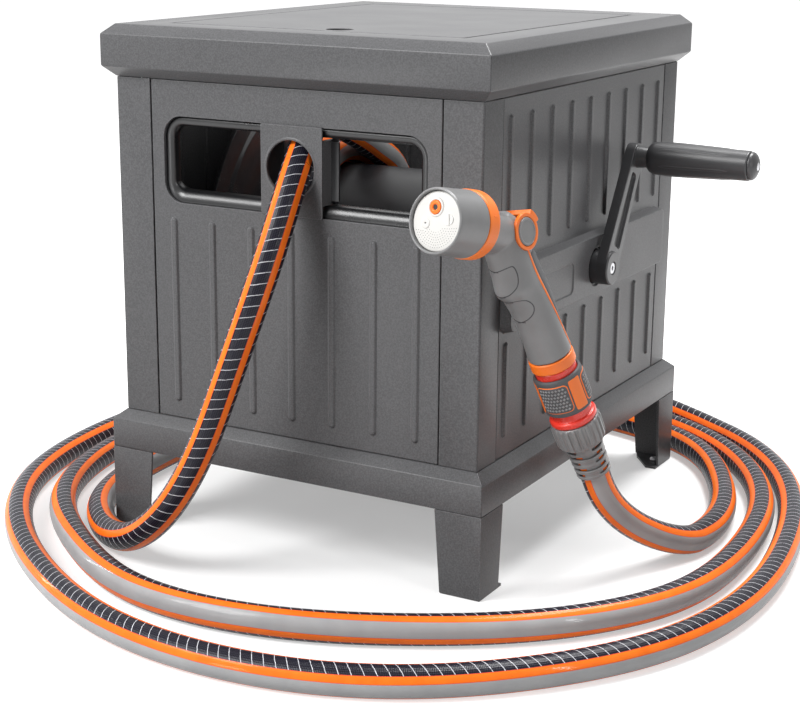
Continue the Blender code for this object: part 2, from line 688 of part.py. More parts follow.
def hatch_and_hinge(cabinet):
    axis = empty("hatch_axis", cabinet, (0, HINGE_Y, HINGE_Z))
    top = LID_TOP - HINGE_Z
    hatch = box(
        "lid_hatch", "powder_coat", axis,
        (-HATCH_HALF_WIDTH, HATCH_HALF_WIDTH), (HATCH_FRONT - HINGE_Y, HATCH_BACK - HINGE_Y),
        (top - HATCH_THICKNESS, top),
    )
    x, y = FINGER_HOLE
    hole = through(FINGER_HOLE_RADIUS, 2 * HATCH_THICKNESS)
    cutter = turned("finger_hole", "powder_coat", axis, hole, (x, y - HINGE_Y, top), steps=24)
    boolean(hatch, cutter, "DIFFERENCE")
    ear = eye_outline(top - HATCH_THICKNESS / 2)
    for side in (LEFT, RIGHT):
        place = (side * HINGE_EAR_X, 0, 0)
        added = plate(f"hatch_ear_{side}", "powder_coat", axis, ear, HINGE_PLATE, place, IN_YZ)
        boolean(hatch, added, "UNION")
    boolean(hatch, hinge_bore("hatch_bore", axis), "DIFFERENCE")

    end = HINGE_LUG_X + 4 * MM
    start, finish = (-end, HINGE_Y, HINGE_Z), (end, HINGE_Y, HINGE_Z)
    rod("hatch_hinge_rod", "zinc", cabinet, start, finish, HINGE_ROD_RADIUS, 12)
    wall = HALF_Y + BAND_OVERHANG - BAND_SHEET - GAP - HINGE_Y
    low, high, neck = -25 * MM, -11 * MM, -8 * MM
    hook = [(wall, low), (wall, high), (6 * MM, high), (HINGE_EYE_RADIUS, neck)]
    hook += arc((0, 0), HINGE_EYE_RADIUS, 0, 180, 8)
    hook += [(-HINGE_EYE_RADIUS, -17 * MM), (4 * MM, low)]
    for side, side_name in ((LEFT, "left"), (RIGHT, "right")):
        place = (side * HINGE_LUG_X, HINGE_Y, HINGE_Z)
        lug = plate(f"hinge_lug_{side_name}", "zinc", cabinet, hook, HINGE_PLATE, place, IN_YZ)
        bore = hinge_bore(f"lug_bore_{side_name}", cabinet, (0, HINGE_Y, HINGE_Z))
        boolean(lug, bore, "DIFFERENCE")


def leg(cabinet, side, end, name):
    """An L-shaped, tapered leg with a plate across its foot for a fixing screw."""
    outer_x, outer_y = HALF_X + BAND_OVERHANG, HALF_Y + BAND_OVERHANG

    def section(width_x, width_y, z):
        t = LEG_THICKNESS
        points = [
            (outer_x, outer_y), (outer_x - width_x, outer_y), (outer_x - width_x, outer_y - t),
            (outer_x - t, outer_y - t), (outer_x - t, outer_y - width_y), (outer_x, outer_y - width_y),
        ]
        return [(side * x, end * y, z) for x, y in points]

    top = section(LEG_FRONT_WIDTHS[0], LEG_SIDE_WIDTHS[0], PLINTH_BOTTOM - GAP)
    bottom = section(LEG_FRONT_WIDTHS[1], LEG_SIDE_WIDTHS[1], 0.8 * MM)
    made = loft(f"leg_{name}", "powder_coat", cabinet, [top, bottom])
    edge = 0.5 * MM
    deep = outer_y - LEG_SIDE_WIDTHS[1] - FOOT_PLATE_REACH
    sole = [
        (outer_x - edge, outer_y - edge), (outer_x - LEG_FRONT_WIDTHS[1] + edge, outer_y - edge),
        (outer_x - 33 * MM, outer_y - 16 * MM), (outer_x - 12 * MM, deep), (outer_x - edge, deep),
    ]
    sole = [(side * x, end * y) for x, y in sole]
    foot = plate(f"sole_{name}", "powder_coat", cabinet, sole, FOOT_PLATE, (0, 0, FOOT_PLATE / 2))
    boolean(made, foot, "UNION")
    shank, head = FOOT_SCREW_SHANK, FOOT_SCREW_HEAD
    place = (side * (outer_x - FOOT_SCREW_INSET[0]), end * (outer_y - FOOT_SCREW_INSET[1]), 0)
    bore = through(shank + GAP, 3 * FOOT_PLATE)
    boolean(made, turned(f"foot_bore_{name}", "zinc", cabinet, bore, place, steps=12), "DIFFERENCE")
    over, low = FOOT_PLATE + GAP, 0.5 * MM
    screw = [
        (0, over + 3 * MM), (head - 1.35 * MM, over + 3 * MM), (head, over + 1.2 * MM), (head, over),
        (shank, over), (shank, low), (0, low),
    ]
    turned(f"foot_screw_{name}", "zinc", cabinet, screw, place, steps=12)


def legs(cabinet):
    for side, side_name in ((LEFT, "left"), (RIGHT, "right")):
        for end, end_name in ((FRONT, "front"), (BACK, "back")):
            leg(cabinet, side, end, f"{end_name}_{side_name}")




def guide_plate(axis):
    """The plate in the window that the hose comes through, with its folded sides."""
    steps = 7
    back = -HALF_Y - GAP
    front = back - GUIDE_SHEET
    left, right = GUIDE_CENTRE_X - GUIDE_HALF_WIDTH, GUIDE_CENTRE_X + GUIDE_HALF_WIDTH
    outline = rounded(left, right, *WINDOW_SPAN, 1.5 * MM, steps)
    sections = [
        (outline, front),
        (circle_in(GUIDE_HOLE, GUIDE_HOLE_RADIUS + 2.5 * MM, steps), front),
        (circle_in(GUIDE_HOLE, GUIDE_HOLE_RADIUS + 1.5 * MM, steps), front - 0.8 * MM),
        (circle_in(GUIDE_HOLE, GUIDE_HOLE_RADIUS, steps), front - 0.3 * MM),
        (circle_in(GUIDE_HOLE, GUIDE_HOLE_RADIUS, steps), back),
        (outline, back),
    ]
    rings = [[(u, y - RAIL_Y, v) for u, v in ring] for ring, y in sections]
    made = loft("guide_plate", "powder_coat", axis, rings, closed=True)
    levels = (WINDOW_SPAN[0] + 11.5 * MM, WINDOW_SPAN[1] - 12 * MM)
    depth = (back - RAIL_Y - GUIDE_SHEET / 3, -4 * MM)
    folds = [
        ((left, left + GUIDE_SHEET), depth, levels), ((right - GUIDE_SHEET, right), depth, levels),
    ]
    tool = add("guide_folds", box_mesh("guide_folds", folds), "powder_coat", axis)
    return boolean(made, tool, "UNION")


def guide_carriage(axis):
    """The black frame behind the plate that slides on the two rails."""
    left = GUIDE_CENTRE_X - GUIDE_HALF_WIDTH + GUIDE_SHEET + GAP
    right = GUIDE_CENTRE_X + GUIDE_HALF_WIDTH - GUIDE_SHEET - GAP
    fin = 9 * MM
    front, throat = -HALF_Y + 0.8 * MM - RAIL_Y, RAIL_RADIUS + 1.7 * MM
    block_front, back = -7 * MM, 12 * MM
    low_rail, high_rail = RAIL_LEVELS
    low, high = WINDOW_SPAN[0] + 12.5 * MM, WINDOW_SPAN[1] - 12 * MM
    low_block = (low_rail - 9 * MM, low_rail + 8 * MM)
    high_block = (high_rail - 7.2 * MM, high_rail + 9 * MM)
    outline = [
        (front, low), (throat, low), (throat, low_block[1]), (block_front, low_block[1]),
        (block_front, low_block[0]), (back, low_block[0]), (back, high_block[1]),
        (block_front, high_block[1]), (block_front, high_block[0]), (throat, high_block[0]),
        (throat, high), (front, high),
    ]
    near, far = (left + CHEEK / 2, 0, 0), (right - CHEEK / 2, 0, 0)
    made = plate("guide_carriage", "black_plastic", axis, outline, CHEEK, near, IN_YZ)
    other = plate("carriage_cheek", "black_plastic", axis, outline, CHEEK, far, IN_YZ)
    boolean(made, other, "UNION")
    inside = (near[0], far[0])
    deep = (block_front + TRIM, back - TRIM)
    parts = [(inside, deep, (base + TRIM, crest - TRIM)) for base, crest in (low_block, high_block)]
    parts.append(((far[0], right + fin), (-3.5 * MM, -1 * MM), (low + 2 * MM, high - 2 * MM)))
    blocks = add("carriage_blocks", box_mesh("carriage_blocks", parts), "black_plastic", axis)
    boolean(made, blocks, "UNION")
    bores = [(left - CHEEK, right + CHEEK, level) for level in RAIL_LEVELS]
    tool = cylinders("carriage_bores", axis, RAIL_RADIUS + GAP, bores, "black_plastic")
    return boolean(made, tool, "DIFFERENCE")


def rails_and_brackets(cabinet):
    for level, level_name in zip(RAIL_LEVELS, ("lower", "upper")):
        start, end = (-RAIL_HALF_LENGTH, RAIL_Y, level), (RAIL_HALF_LENGTH, RAIL_Y, level)
        rod(f"guide_rail_{level_name}", "zinc", cabinet, start, end, RAIL_RADIUS)
    outer, inner = BRACKET_OUTER_X, BRACKET_OUTER_X - BRACKET_SHEET
    depth = (-HALF_Y + PANEL_RECESS + SHEET + GAP, RAIL_Y + 9 * MM)
    levels = (RAIL_LEVELS[0] - 12 * MM, RAIL_LEVELS[1] + 12 * MM)
    bore = through(RAIL_RADIUS + GAP, 2 * BRACKET_SHEET)
    for side, side_name in ((LEFT, "left"), (RIGHT, "right")):
        name = f"rail_bracket_{side_name}"
        bracket = box(name, "powder_coat", cabinet, (side * outer, side * inner), depth, levels)
        for level in RAIL_LEVELS:
            place = (side * outer, RAIL_Y, level)
            tool = turned(f"{name}_bore", "zinc", cabinet, bore, place, ALONG_X[RIGHT], steps=16)
            boolean(bracket, tool, "DIFFERENCE")


def cabinet_pieces(cabinet):
    plinth_frame(cabinet)
    corner_posts(cabinet)
    front_panel(cabinet)
    side_panels(cabinet)
    back_panel(cabinet)
    lid_crown(cabinet)
    hatch_ledge(cabinet)
    hatch_and_hinge(cabinet)
    legs(cabinet)
    rails_and_brackets(cabinet)
    axis = empty("guide_axis", cabinet, (0, RAIL_Y, 0))
    guide_plate(axis)
    guide_carriage(axis)


def reel(axis):
    """The drum between its flanges, on a hollow axle that takes the water to the hose."""
    inner = FLANGE_INNER_X
    core_end = inner - GAP
    bore = CORE_RADIUS - CORE_WALL
    core = [(CORE_RADIUS, core_end), (CORE_RADIUS, -core_end), (bore, -core_end), (bore, core_end)]
    turned("reel_core", "black_plastic", axis, core, rotation=ALONG_X[RIGHT], steps=30, ring=True)
    axle_bore = AXLE_RADIUS + GAP
    step, sheet = FLANGE_STEP_RADIUS, FLANGE_SHEET
    outer, hub_end = inner + FLANGE_STEP, inner + 12 * MM
    rim_end, hub = outer + 4.5 * MM, 24 * MM
    flange = [
        (FLANGE_RADIUS, rim_end), (FLANGE_RADIUS, outer), (step + 1 * MM, outer), (step - 2 * MM, inner),
        (axle_bore, inner), (axle_bore, hub_end), (hub, hub_end), (hub + 2 * MM, inner + sheet),
        (step - 3 * MM, inner + sheet), (step, outer + sheet),
        (FLANGE_RADIUS - 2.5 * MM, outer + sheet), (FLANGE_RADIUS - 2 * MM, rim_end),
    ]
    for side, side_name in ((LEFT, "left"), (RIGHT, "right")):
        turned(
            f"reel_flange_{side_name}", "black_plastic", axis, flange,
            rotation=ALONG_X[side], steps=30, ring=True,
        )
    left_end = -(BAND_INNER_X - SEAL_LENGTH - 2 * GAP)
    axle = [
        (0, AXLE_END), (AXLE_RADIUS, AXLE_END), (AXLE_RADIUS, left_end), (WATER_BORE, left_end),
        (WATER_BORE, WATER_BORE_END), (0, WATER_BORE_END),
    ]
    turned("reel_axle", "zinc", axis, axle, rotation=ALONG_X[RIGHT], steps=24)
    low, high = (ELBOW_X, 0, axle_bore), (ELBOW_X, 0, bore - 0.8 * MM)
    rod("water_elbow", "brass", axis, low, high, ELBOW_RADIUS)


def bearings_and_inlet(cabinet):
    """What carries the axle at each side panel, and the water inlet on the left."""
    centre = (0, REEL_Y, REEL_Z)
    outer, start, end = BEARING_RADIUS, BEARING_START_X, BAND_INNER_X - GAP
    for side, side_name, inside in ((LEFT, "left", AXLE_RADIUS), (RIGHT, "right", HUB_RADIUS)):
        bore = inside + GAP
        ring = [(outer, end), (outer, start), (bore, start), (bore, end)]
        name = f"bearing_{side_name}"
        turned(name, "black_plastic", cabinet, ring, centre, ALONG_X[side], 24, ring=True)
    spigot, boss, flange = HUB_HOLE_RADIUS - GAP, 16 * MM, 26 * MM
    face, nut_end = BAND_FACE_X + GAP, SWIVEL_END_X
    top = face + 4 * MM
    swivel = [
        (boss - 2 * MM, nut_end), (boss, nut_end - 2 * MM), (boss, top), (flange - 1 * MM, top),
        (flange, top - 1 * MM), (flange, face), (spigot, face), (spigot, BAND_INNER_X),
        (WATER_BORE, BAND_INNER_X), (WATER_BORE, nut_end),
    ]
    turned("inlet_swivel", "black_plastic", cabinet, swivel, centre, ALONG_X[LEFT], 18, ring=True)
    seal_end = BAND_INNER_X - GAP
    seal_start = seal_end - SEAL_LENGTH
    seal_in, seal_out = WATER_BORE + GAP, AXLE_RADIUS - TRIM
    seal = [(seal_out, seal_end), (seal_out, seal_start), (seal_in, seal_start), (seal_in, seal_end)]
    turned("swivel_seal", "seal", cabinet, seal, centre, ALONG_X[LEFT], 20, ring=True)
    tap_start, spout, hexagon = nut_end + GAP, 10 * MM, 13 * MM
    tap = [
        (spout - 1 * MM, INLET_REACH), (spout, INLET_REACH - 1 * MM), (spout, tap_start + 9 * MM),
        (hexagon, tap_start + 7 * MM), (hexagon, tap_start), (WATER_BORE, tap_start),
        (WATER_BORE, INLET_REACH),
    ]
    turned("tap_connector", "brass", cabinet, tap, centre, ALONG_X[LEFT], 16, ring=True)


def crank(axis):
    """The arm outside the right panel, its boss in the bearing, and the grip on its pin."""
    frame = empty("crank_frame", axis, rotation=(-ARM_LEAN, 0, 0))
    outline = arc((0, 0), HUB_RADIUS, 180, 360, 12)
    outline += arc((0, ARM_LENGTH), ARM_TIP_RADIUS, 0, 180, 10)
    front_x = ARM_BACK_X + ARM_THICKNESS
    middle_x = ARM_BACK_X + ARM_THICKNESS / 2
    arm = plate("crank_arm", "black_plastic", frame, outline, ARM_THICKNESS, (middle_x, 0, 0), IN_YZ)
    neck_x, boss_end = BAND_FACE_X + 1.5 * MM, AXLE_END + GAP
    boss = [
        (0, HUB_FACE_X), (HUB_RADIUS - 1.5 * MM, HUB_FACE_X), (HUB_RADIUS - TRIM, HUB_FACE_X - 1 * MM),
        (HUB_RADIUS - TRIM, neck_x), (HUB_RADIUS, neck_x), (HUB_RADIUS, boss_end), (0, boss_end),
    ]
    added = turned("crank_boss", "black_plastic", frame, boss, rotation=ALONG_X[RIGHT], steps=24)
    boolean(arm, added, "UNION")
    pin_boss_end, foot, top = GRIP_START_X - GAP, 11 * MM, 9.5 * MM
    pin_boss = [(0, pin_boss_end), (top, pin_boss_end), (foot, front_x - 1 * MM), (foot, middle_x)]
    pin_boss.append((0, middle_x))
    tip = (0, 0, ARM_LENGTH)
    added = turned("pin_boss", "black_plastic", frame, pin_boss, tip, ALONG_X[RIGHT], 16)
    boolean(arm, added, "UNION")
    pocket_depth = 3 * MM
    low, high, half_low, half_high = 21 * MM, ARM_LENGTH - 16.9 * MM, 8.5 * MM, 6 * MM
    pocket = [(-half_low, low), (half_low, low), (half_high, high), (-half_high, high)]
    for x in (ARM_BACK_X, front_x):
        tool = plate("arm_pocket", "black_plastic", frame, pocket, 2 * pocket_depth, (x, 0, 0), IN_YZ)
        boolean(arm, tool, "DIFFERENCE")
    recess_floor, beyond = HUB_FACE_X - 4.6 * MM, GRIP_START_X + 10 * MM
    recess_radius = CRANK_SCREW_RADIUS + 0.4 * MM
    recess = [(0, beyond), (recess_radius, beyond), (recess_radius, recess_floor), (0, recess_floor)]
    tool = turned("screw_recess", "zinc", frame, recess, rotation=ALONG_X[RIGHT], steps=16)
    boolean(arm, tool, "DIFFERENCE")
    pin_start, bore = ARM_BACK_X + 2.5 * MM, PIN_RADIUS + GAP
    pin_hole = [(0, beyond), (bore, beyond), (bore, pin_start), (0, pin_start)]
    tool = turned("pin_hole", "zinc", frame, pin_hole, tip, ALONG_X[RIGHT], 12)
    boolean(arm, tool, "DIFFERENCE")
    screw_top, screw_low = HUB_FACE_X - 0.6 * MM, recess_floor + GAP
    edge = 0.8 * MM
    screw = [
        (0, screw_top), (CRANK_SCREW_RADIUS - edge, screw_top), (CRANK_SCREW_RADIUS, screw_top - edge),
        (CRANK_SCREW_RADIUS, screw_low), (0, screw_low),
    ]
    turned("crank_screw", "zinc", frame, screw, rotation=ALONG_X[RIGHT], steps=14)
    grip(frame, pin_start)


def grip(frame, pin_start):
    """The grip, which turns on a headed pin, and the cap over the pin's head."""
    grip_axis = empty("grip_axis", frame, (GRIP_START_X, 0, ARM_LENGTH))
    body, end = GRIP_LENGTH, GRIP_END_X - GRIP_START_X
    bore, counterbore = PIN_RADIUS + GAP, PIN_HEAD_RADIUS + GAP
    seat, nose = body - PIN_HEAD_DEPTH, GRIP_RADIUS - 2.6 * MM
    outline = [
        (nose, body), (GRIP_RADIUS - 1.8 * MM, body - 1 * MM), (GRIP_RADIUS - 1.6 * MM, body - 16 * MM),
        (GRIP_RADIUS - 0.8 * MM, body - 40 * MM), (GRIP_RADIUS, 30 * MM), (GRIP_RADIUS, 12 * MM),
        (GRIP_RADIUS - 1.5 * MM, 3 * MM), (GRIP_RADIUS - 4 * MM, 0), (bore, 0), (bore, seat),
        (counterbore, seat), (counterbore, body),
    ]
    along = ALONG_X[RIGHT]
    turned("crank_grip", "black_plastic", grip_axis, outline, rotation=along, steps=20, ring=True)
    cap = [
        (0, end), (6 * MM, end - 0.6 * MM), (11 * MM, end - 3 * MM), (nose, body + 2 * MM),
        (nose, body + GAP), (0, body + GAP),
    ]
    turned("grip_end_cap", "black_plastic", grip_axis, cap, rotation=along, steps=20)
    pin_top, pin_low = body - GAP, pin_start + GAP - GRIP_START_X
    pin = [
        (0, pin_top), (PIN_HEAD_RADIUS, pin_top), (PIN_HEAD_RADIUS, seat + GAP),
        (PIN_RADIUS, seat + GAP), (PIN_RADIUS, pin_low), (0, pin_low),
    ]
    turned("grip_pin", "zinc", grip_axis, pin, rotation=along, steps=12)


# Spray gun and hose connector


def turned_down(name, kind, handle, profile):
    """A ring turned about the handle's axis, from (radius, distance down the handle) points."""
    outline = [(radius, -down) for radius, down in profile]
    return turned(name, kind, handle, outline, steps=20, ring=True)


def in_metres(outline):
    return [(radius * MM, z * MM) for radius, z in outline]


def skin(name, kind, parent, sections, direction):
    """A smooth loft through ellipses along local Z, given in millimetres."""
    turn = [2 * math.pi * i / 16 for i in range(16)]
    rings = [
        [(x * MM * math.cos(a), (middle + y * math.sin(a)) * MM, direction * z * MM) for a in turn]
        for z, middle, x, y in sections
    ]
    made = loft(name, kind, parent, rings)
    made.data.shade_smooth()
    made.data.set_sharp_from_angle(angle=math.radians(40))
    return made


def sector(inner, outer, start, end, steps=8):
    return arc((0, 0), outer, start, end, steps) + arc((0, 0), inner, end, start, steps)


def gun_body(gun, handle, head):
    """The grey body: handle and neck as one, cut for the lever, the pivot pin and the rear insert."""
    body = skin("gun_body", "gun_grey", handle, HANDLE_SECTIONS, -1)
    boolean(body, skin("gun_neck", "gun_grey", head, NECK_SECTIONS, 1), "UNION")
    near, far = LEVER_INSIDE - GAP, GUN_HALF_CUT
    sides = [(-far, -near, 0), (near, far, 0)]
    pockets = cylinders("lever_pockets", gun, LEVER_RING + GAP, sides, "gun_grey")
    boolean(body, pockets, "DIFFERENCE")
    start, end = LEVER_ANGLES[0] - LEVER_CLEARANCE, LEVER_ANGLES[1] + LEVER_TRAVEL + LEVER_CLEARANCE
    slot = sector(LEVER_BRIDGE[0] - GAP, GUN_HALF_CUT + 4 * MM, start, end)
    tool = plate("lever_slot", "gun_grey", gun, slot, 2 * far, (0, 0, 0), IN_YZ)
    boolean(body, tool, "DIFFERENCE")
    bore = cylinders("pin_bore", gun, PIVOT_SHAFT + GAP, [(-far, far, 0)], "gun_grey")
    boolean(body, bore, "DIFFERENCE")
    rear = add("rear_pocket", box_mesh("rear_pocket", [rear_region(GAP)]), "dark_insert", handle)
    boolean(body, rear, "DIFFERENCE")
    insert = skin("gun_back_insert", "dark_insert", handle, HANDLE_SECTIONS, -1)
    kept = add("rear_kept", box_mesh("rear_kept", [rear_region(0)]), "dark_insert", handle)
    boolean(insert, kept, "INTERSECT")


def rear_region(margin):
    """Where the handle's rear insert lies in the handle's frame, widened by a margin."""
    half, front = GUN_HALF_CUT, 10 * MM
    low, high = -117 * MM, -24 * MM
    return ((-half, half), (front - margin, front + half), (low - margin, high + margin))


def lever_and_pin(gun):
    """The orange thumb lever: a ring on each side of the body and a bridge behind its top."""
    lever_axis = empty("lever_axis", gun)
    middle = (LEVER_INSIDE + LEVER_OUTSIDE) / 2
    width = LEVER_OUTSIDE - LEVER_INSIDE
    bridge = sector(*LEVER_BRIDGE, *LEVER_ANGLES)
    across = 2 * (LEVER_OUTSIDE - TRIM)
    lever = plate("thumb_lever", "orange", lever_axis, bridge, across, (0, 0, 0), IN_YZ)
    hole, along = PIVOT_DISC + GAP, ALONG_X[RIGHT]
    for side in (LEFT, RIGHT):
        low = side * middle - width / 2
        profile = [(LEVER_RING, low + width), (LEVER_RING, low), (hole, low), (hole, low + width)]
        name = f"lever_ring_{side}"
        added = turned(name, "orange", lever_axis, profile, rotation=along, steps=20, ring=True)
        boolean(lever, added, "UNION")
    face, edge, inside = LEVER_OUTSIDE + 0.4 * MM, 1 * MM, LEVER_INSIDE
    half = [
        (0, face), (PIVOT_DISC - edge, face), (PIVOT_DISC, face - edge), (PIVOT_DISC, inside),
        (PIVOT_SHAFT, inside),
    ]
    profile = half + [(radius, -x) for radius, x in reversed(half)]
    turned("pivot_pin", "gun_grey", gun, profile, rotation=along, steps=20)


def spray_head(head_axis):
    """The turning head with its orange ring, white face and nozzle."""
    turned("spray_head", "gun_grey", head_axis, in_metres(HEAD_SHELL), steps=24)
    disc = turned("spray_face", "white", head_axis, in_metres(HEAD_FACE), steps=24)
    turned("head_ring", "orange", head_axis, in_metres(HEAD_RING), steps=24, ring=True)
    place, outer = (0, NOZZLE_OFFSET, 0), NOZZLE_RADIUS
    low = HEAD_FACE[-1][1] * MM
    high = low + 4.3 * MM
    seat = [(0, high), (outer + GAP, high), (outer + GAP, low - 5 * MM), (0, low - 5 * MM)]
    tool = turned("nozzle_seat", "orange", head_axis, seat, place, steps=14)
    boolean(disc, tool, "DIFFERENCE")
    hole = 1.6 * MM
    nozzle = [
        (outer - 0.6 * MM, high), (outer, high - 0.8 * MM), (outer, low), (0, low),
        (0, low + 1.5 * MM), (hole, low + 1.5 * MM), (hole, high - 1 * MM), (hole + 1.4 * MM, high),
    ]
    turned("nozzle_insert", "orange", head_axis, nozzle, place, steps=14, ring=True)


def connector(handle, collar_axis):
    """The red-ringed coupling with its sliding collar, and the nut that grips the hose."""
    ring_end, outer, edge = CONNECTOR_AT - GAP, 20.2 * MM, 0.8 * MM
    inlet_ring = [
        (INLET_BORE, INLET_RING_AT), (outer - edge, INLET_RING_AT), (outer, INLET_RING_AT + 1 * MM),
        (outer, ring_end - 1 * MM), (outer - edge, ring_end), (SPIGOT_RADIUS, ring_end),
        (SPIGOT_RADIUS, SPIGOT_END), (INLET_BORE, SPIGOT_END),
    ]
    turned_down("gun_inlet_ring", "orange", handle, inlet_ring)
    socket_end, body_end = SPIGOT_END + GAP, NUT_AT - GAP
    body = [
        (COUPLING_RADIUS - edge, CONNECTOR_AT), (COUPLING_RADIUS, CONNECTOR_AT + 1 * MM),
        (COUPLING_RADIUS, body_end), (INLET_BORE, body_end), (INLET_BORE, socket_end),
        (SPIGOT_RADIUS + GAP, socket_end), (SPIGOT_RADIUS + GAP, CONNECTOR_AT),
    ]
    turned_down("connector_body", "red", handle, body)
    bore, rim, end = COUPLING_RADIUS + GAP, COLLAR_RADIUS - 1.4 * MM, COLLAR_END - COLLAR_AT
    collar = [
        (bore, 0), (rim, 0), (COLLAR_RADIUS, 2 * MM), (COLLAR_RADIUS, end - 2 * MM), (rim, end),
        (bore, end),
    ]
    turned_down("connector_collar", "dark_insert", collar_axis, collar)
    hose_bore = HOSE_RADIUS + GAP
    nut = [
        (INLET_BORE, NUT_AT), (21 * MM, NUT_AT), (23 * MM, NUT_AT + 3 * MM), (21.5 * MM, NUT_END - 4 * MM),
        (19 * MM, NUT_END), (17 * MM, NUT_END + 0.5 * MM), (hose_bore + 1.6 * MM, SLEEVE_END),
        (hose_bore, SLEEVE_END), (hose_bore, HOSE_SEAT_AT), (INLET_BORE, HOSE_SEAT_AT),
    ]
    turned_down("hose_nut", "gun_grey", handle, nut)


def gun_pieces(gun, handle):
    head_axis = empty("head_axis", gun, HEAD_CENTRE, (math.radians(90) + HEAD_TILT, 0, 0))
    gun_body(gun, handle, head_axis)
    lever_and_pin(gun)
    spray_head(head_axis)
    connector(handle, empty("collar_axis", handle, (0, 0, -COLLAR_AT)))


# Hose


def natural_spline(points):
    """A natural cubic spline through points, by the length of its chords."""
    points = np.array(points, float)
    knots = np.concatenate([[0], np.cumsum(np.linalg.norm(np.diff(points, axis=0), axis=1))])
    count, step = len(points), np.diff(knots)
    system, right = np.eye(count), np.zeros((count, 3))
    for i in range(1, count - 1):
        system[i, i - 1 : i + 2] = step[i - 1], 2 * (step[i - 1] + step[i]), step[i]
        slopes = (points[i + 1] - points[i]) / step[i] - (points[i] - points[i - 1]) / step[i - 1]
        right[i] = 6 * slopes
    bend = np.linalg.solve(system, right)

    def at(t):
        i = int(np.clip(np.searchsorted(knots, t, side="right") - 1, 0, count - 2))
        h, a, b = step[i], knots[i + 1] - t, t - knots[i]
        cubic = (bend[i] * a**3 + bend[i + 1] * b**3) / (6 * h)
        line = (points[i] / h - bend[i] * h / 6) * a + (points[i + 1] / h - bend[i + 1] * h / 6) * b
        return cubic + line

    return at, knots


def fine_route(points, step=2 * MM):
    """Close points along the smooth route, none of them under the floor."""
    at, knots = natural_spline(points)
    fine = np.array([at(t) for t in np.arange(0, knots[-1], step)] + [at(knots[-1])])
    fine[:, 2] = np.maximum(fine[:, 2], HOSE_RADIUS)
    return fine


def spaced(points, spacing):
    """Evenly spaced points along a fine line, and one close to each end, so that the ends of two
    tubes that meet face each other squarely."""
    run = np.concatenate([[0], np.cumsum(np.linalg.norm(np.diff(points, axis=0), axis=1))])
    count = max(2, round(run[-1] / spacing) + 1)
    wanted = np.linspace(0, run[-1], count)
    wanted = np.insert(wanted, [1, count - 1], [END_RUN, run[-1] - END_RUN])
    return np.stack([np.interp(wanted, run, points[:, k]) for k in range(3)], axis=1)


def cut_after(points, place):
    """Splits a fine line at its point nearest to a place."""
    nearest = int(np.argmin(np.linalg.norm(points - np.array(place), axis=1)))
    return points[: nearest + 1], points[nearest:]


def on_drum(turn):
    """The hose's centre on the drum, at an angle from the top towards the back, in degrees."""
    radius = (CORE_RADIUS + GAP + HOSE_RADIUS) / math.cos(math.pi / WOUND_STEPS)
    x = WOUND_EXIT_X - WOUND_PITCH * (turn - WOUND_EXIT_ANGLE) / 360
    return Vector((x, radius * math.sin(math.radians(turn)), radius * math.cos(math.radians(turn))))


def wound_points():
    """Two turns on the drum, with a straight diameter of hose at each end, in the reel's frame."""
    last = WOUND_EXIT_ANGLE + 360 * WOUND_TURNS
    turns = [last - 360 * i / WOUND_STEPS for i in range(WOUND_STEPS * WOUND_TURNS + 1)]
    coil = [on_drum(turn) for turn in turns]
    inward = (on_drum(last) - on_drum(last - 1)).normalized()
    outward = (on_drum(WOUND_EXIT_ANGLE) - on_drum(WOUND_EXIT_ANGLE + 1)).normalized()
    start, end = coil[0] + inward * HOSE_DIAMETER, coil[-1] + outward * HOSE_DIAMETER
    return [start] + coil + [end], outward


def least_gap(points, diameter):
    """The least gap between stretches of a coil that are more than a third of a turn apart."""
    points = np.array([tuple(p) for p in points])
    apart = WOUND_STEPS // 3
    gaps = []
    for i in range(len(points) - 1):
        for j in range(i + apart, len(points) - 1):
            middle = (points[i] + points[i + 1]) / 2, (points[j] + points[j + 1]) / 2
            gaps.append(np.linalg.norm(middle[0] - middle[1]) - diameter)
            gaps.append(np.linalg.norm(points[i] - points[j]) - diameter)
    return min(gaps)


def shortened(points):
    """Points whose last stretch gives up a little, so that the tube clears the next one."""
    points = [Vector(p) for p in points]
    points[-1] += (points[-2] - points[-1]).normalized() * TUBE_GAP
    return points


